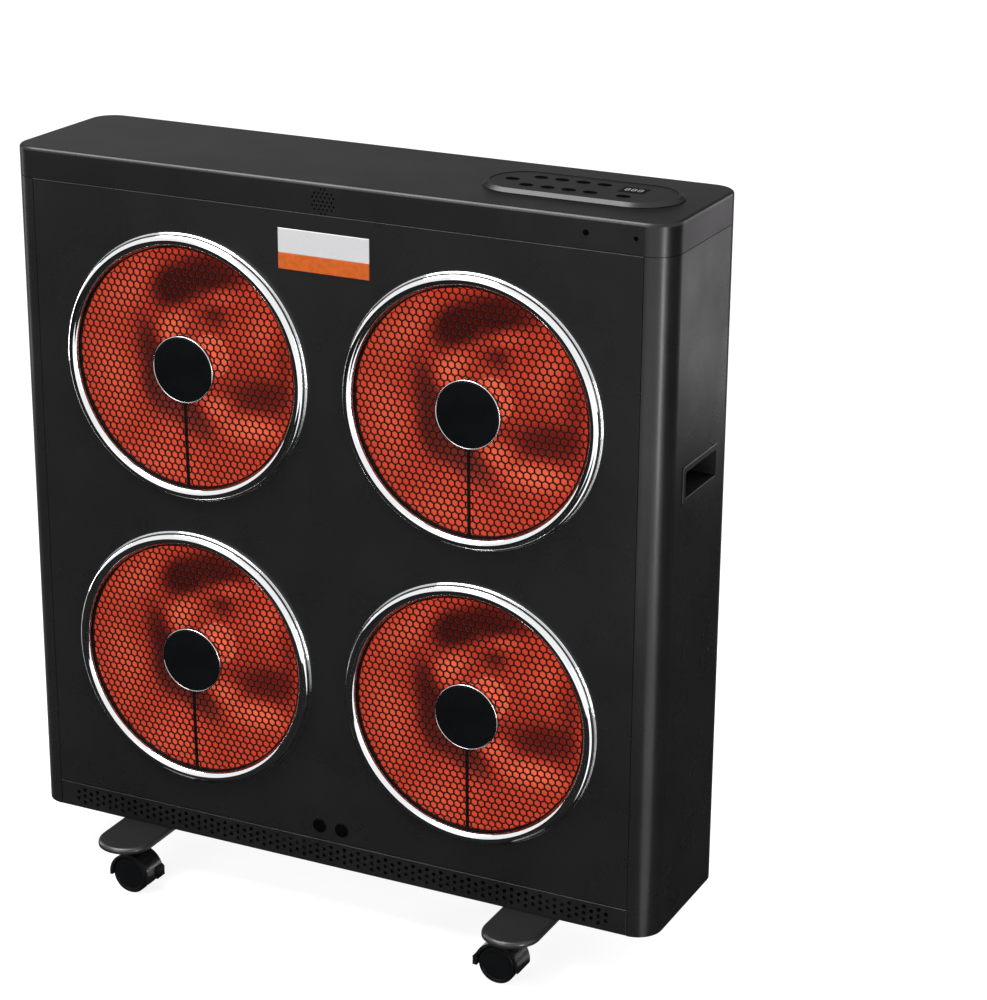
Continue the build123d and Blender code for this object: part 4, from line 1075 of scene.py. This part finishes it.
def softbox(name, place, target, size, brightness):
    """A rectangular studio light that faces a point, as bright as the given multiple of white."""
    light = bpy.data.lights.new(name, "AREA")
    light.shape = "RECTANGLE"
    light.size, light.size_y = size
    light.energy = brightness * math.pi * size[0] * size[1]
    lamp = bpy.data.objects.new(name, light)
    lamp.location = place
    lamp.rotation_mode = "QUATERNION"
    lamp.rotation_quaternion = (Vector(target) - Vector(place)).to_track_quat("-Z", "Y")
    lamp.visible_camera = False
    bpy.context.scene.collection.objects.link(lamp)


def build_lights():
    """A box over the front edge, a front fill and narrow boxes for the right corner and both sides."""
    softbox("overhead", (-0.72, -0.45, 1.98), (-0.72, -0.45, 0.0), (1.5, 1.4), 8.2)
    softbox("front_fill", (-0.8, -3.2, 1.9), (0, 0, 0.5), (1.6, 1.6), 3.6)
    softbox("corner_strip", (1.43, -0.80, 0.44), (0.34, -0.08, 0.44), (0.15, 0.80), 16.0)
    softbox("side_glow", (0.90, 1.25, 0.63), (0.35, 0.0, 0.63), (0.4, 1.0), 15.0)
    softbox("left_glow", (-1.74, 0.09, 0.52), (-0.35, -0.05, 0.52), (0.3, 0.9), 11.0)


def build_world():
    """White where it is seen directly or mirrored, a quiet grey room for diffuse light."""
    world = bpy.data.worlds.new("studio")
    bpy.context.scene.world = world
    world.use_nodes = True
    tree = world.node_tree
    background = tree.nodes["Background"]
    background.inputs["Color"].default_value = (1, 1, 1, 1)
    room = tree.nodes.new("ShaderNodeMapRange")
    room.inputs["To Min"].default_value = ROOM_GREY
    room.inputs["To Max"].default_value = 1.0
    tree.links.new(seen_directly(tree), room.inputs["Value"])
    tree.links.new(room.outputs["Result"], background.inputs["Strength"])


def build_black_cards():
    """Black cards on the floor, seen only in reflections: they give the polished rings their
    dark lines and keep the paint dark towards the floor. They are placed for the view that the
    camera has, and from other sides what they reflect is not fitted to anything."""
    shader = Shader("black_card", (0.01, 0.01, 0.01), 1.0)
    shader.set("Specular IOR Level", 0.0)
    shader.vary_color((0.008, 0.008, 0.008), (0.014, 0.014, 0.014), 2.0)
    cards = {
        "floor_card": [(-8, -9), (-1.2, -9), (0.15, -0.24), (-8, -0.24)],
        "near_card": [(-8, -0.24), (0.15, -0.24), (0.34, -0.07), (-8, -0.07)],
        "wedge_card": [(0.15, -0.24), (0.02, -1.10), (0.95, -1.10), (0.34, -0.07)],
        "right_card": [(0.34, -0.10), (8, -2.2), (8, 9), (0.34, 9)],
    }
    for name, corners in cards.items():
        card = stage_plane(name, [(x, y, CARD_LIFT) for x, y in corners], shader.material)
        card.visible_camera = False
        card.visible_diffuse = False
        card.visible_shadow = False
        card.visible_transmission = False


def build_camera():
    """The camera, turned by its yaw, pitch and roll."""
    data = bpy.data.cameras.new("camera")
    data.sensor_fit = "AUTO"
    data.sensor_width = SENSOR
    data.lens = FOCAL_SHARE * SENSOR
    data.clip_start = 0.05
    data.clip_end = 100
    yaw, pitch, roll = (math.radians(value) for value in (CAMERA_YAW, CAMERA_PITCH, CAMERA_ROLL))
    ahead = Vector((-math.sin(yaw) * math.cos(pitch), math.cos(yaw) * math.cos(pitch), -math.sin(pitch)))
    right = Vector((math.cos(yaw), math.sin(yaw), 0))
    up = right.cross(ahead)
    level_right = right
    right = math.cos(roll) * level_right + math.sin(roll) * up
    up = math.cos(roll) * up - math.sin(roll) * level_right
    turn = Matrix((right, up, -ahead)).transposed().to_4x4()
    camera = bpy.data.objects.new("camera", data)
    camera.matrix_world = Matrix.Translation(CAMERA_PLACE) @ turn
    bpy.context.scene.collection.objects.link(camera)
    bpy.context.scene.camera = camera


build_heads()
build_strip()
build_badge()
build_pad()
build_digits()
build_beads()
dress_nodes()
build_stage()
build_lights()
build_world()
build_black_cards()
build_camera()
bpy.context.scene.view_settings.view_transform = "Standard"
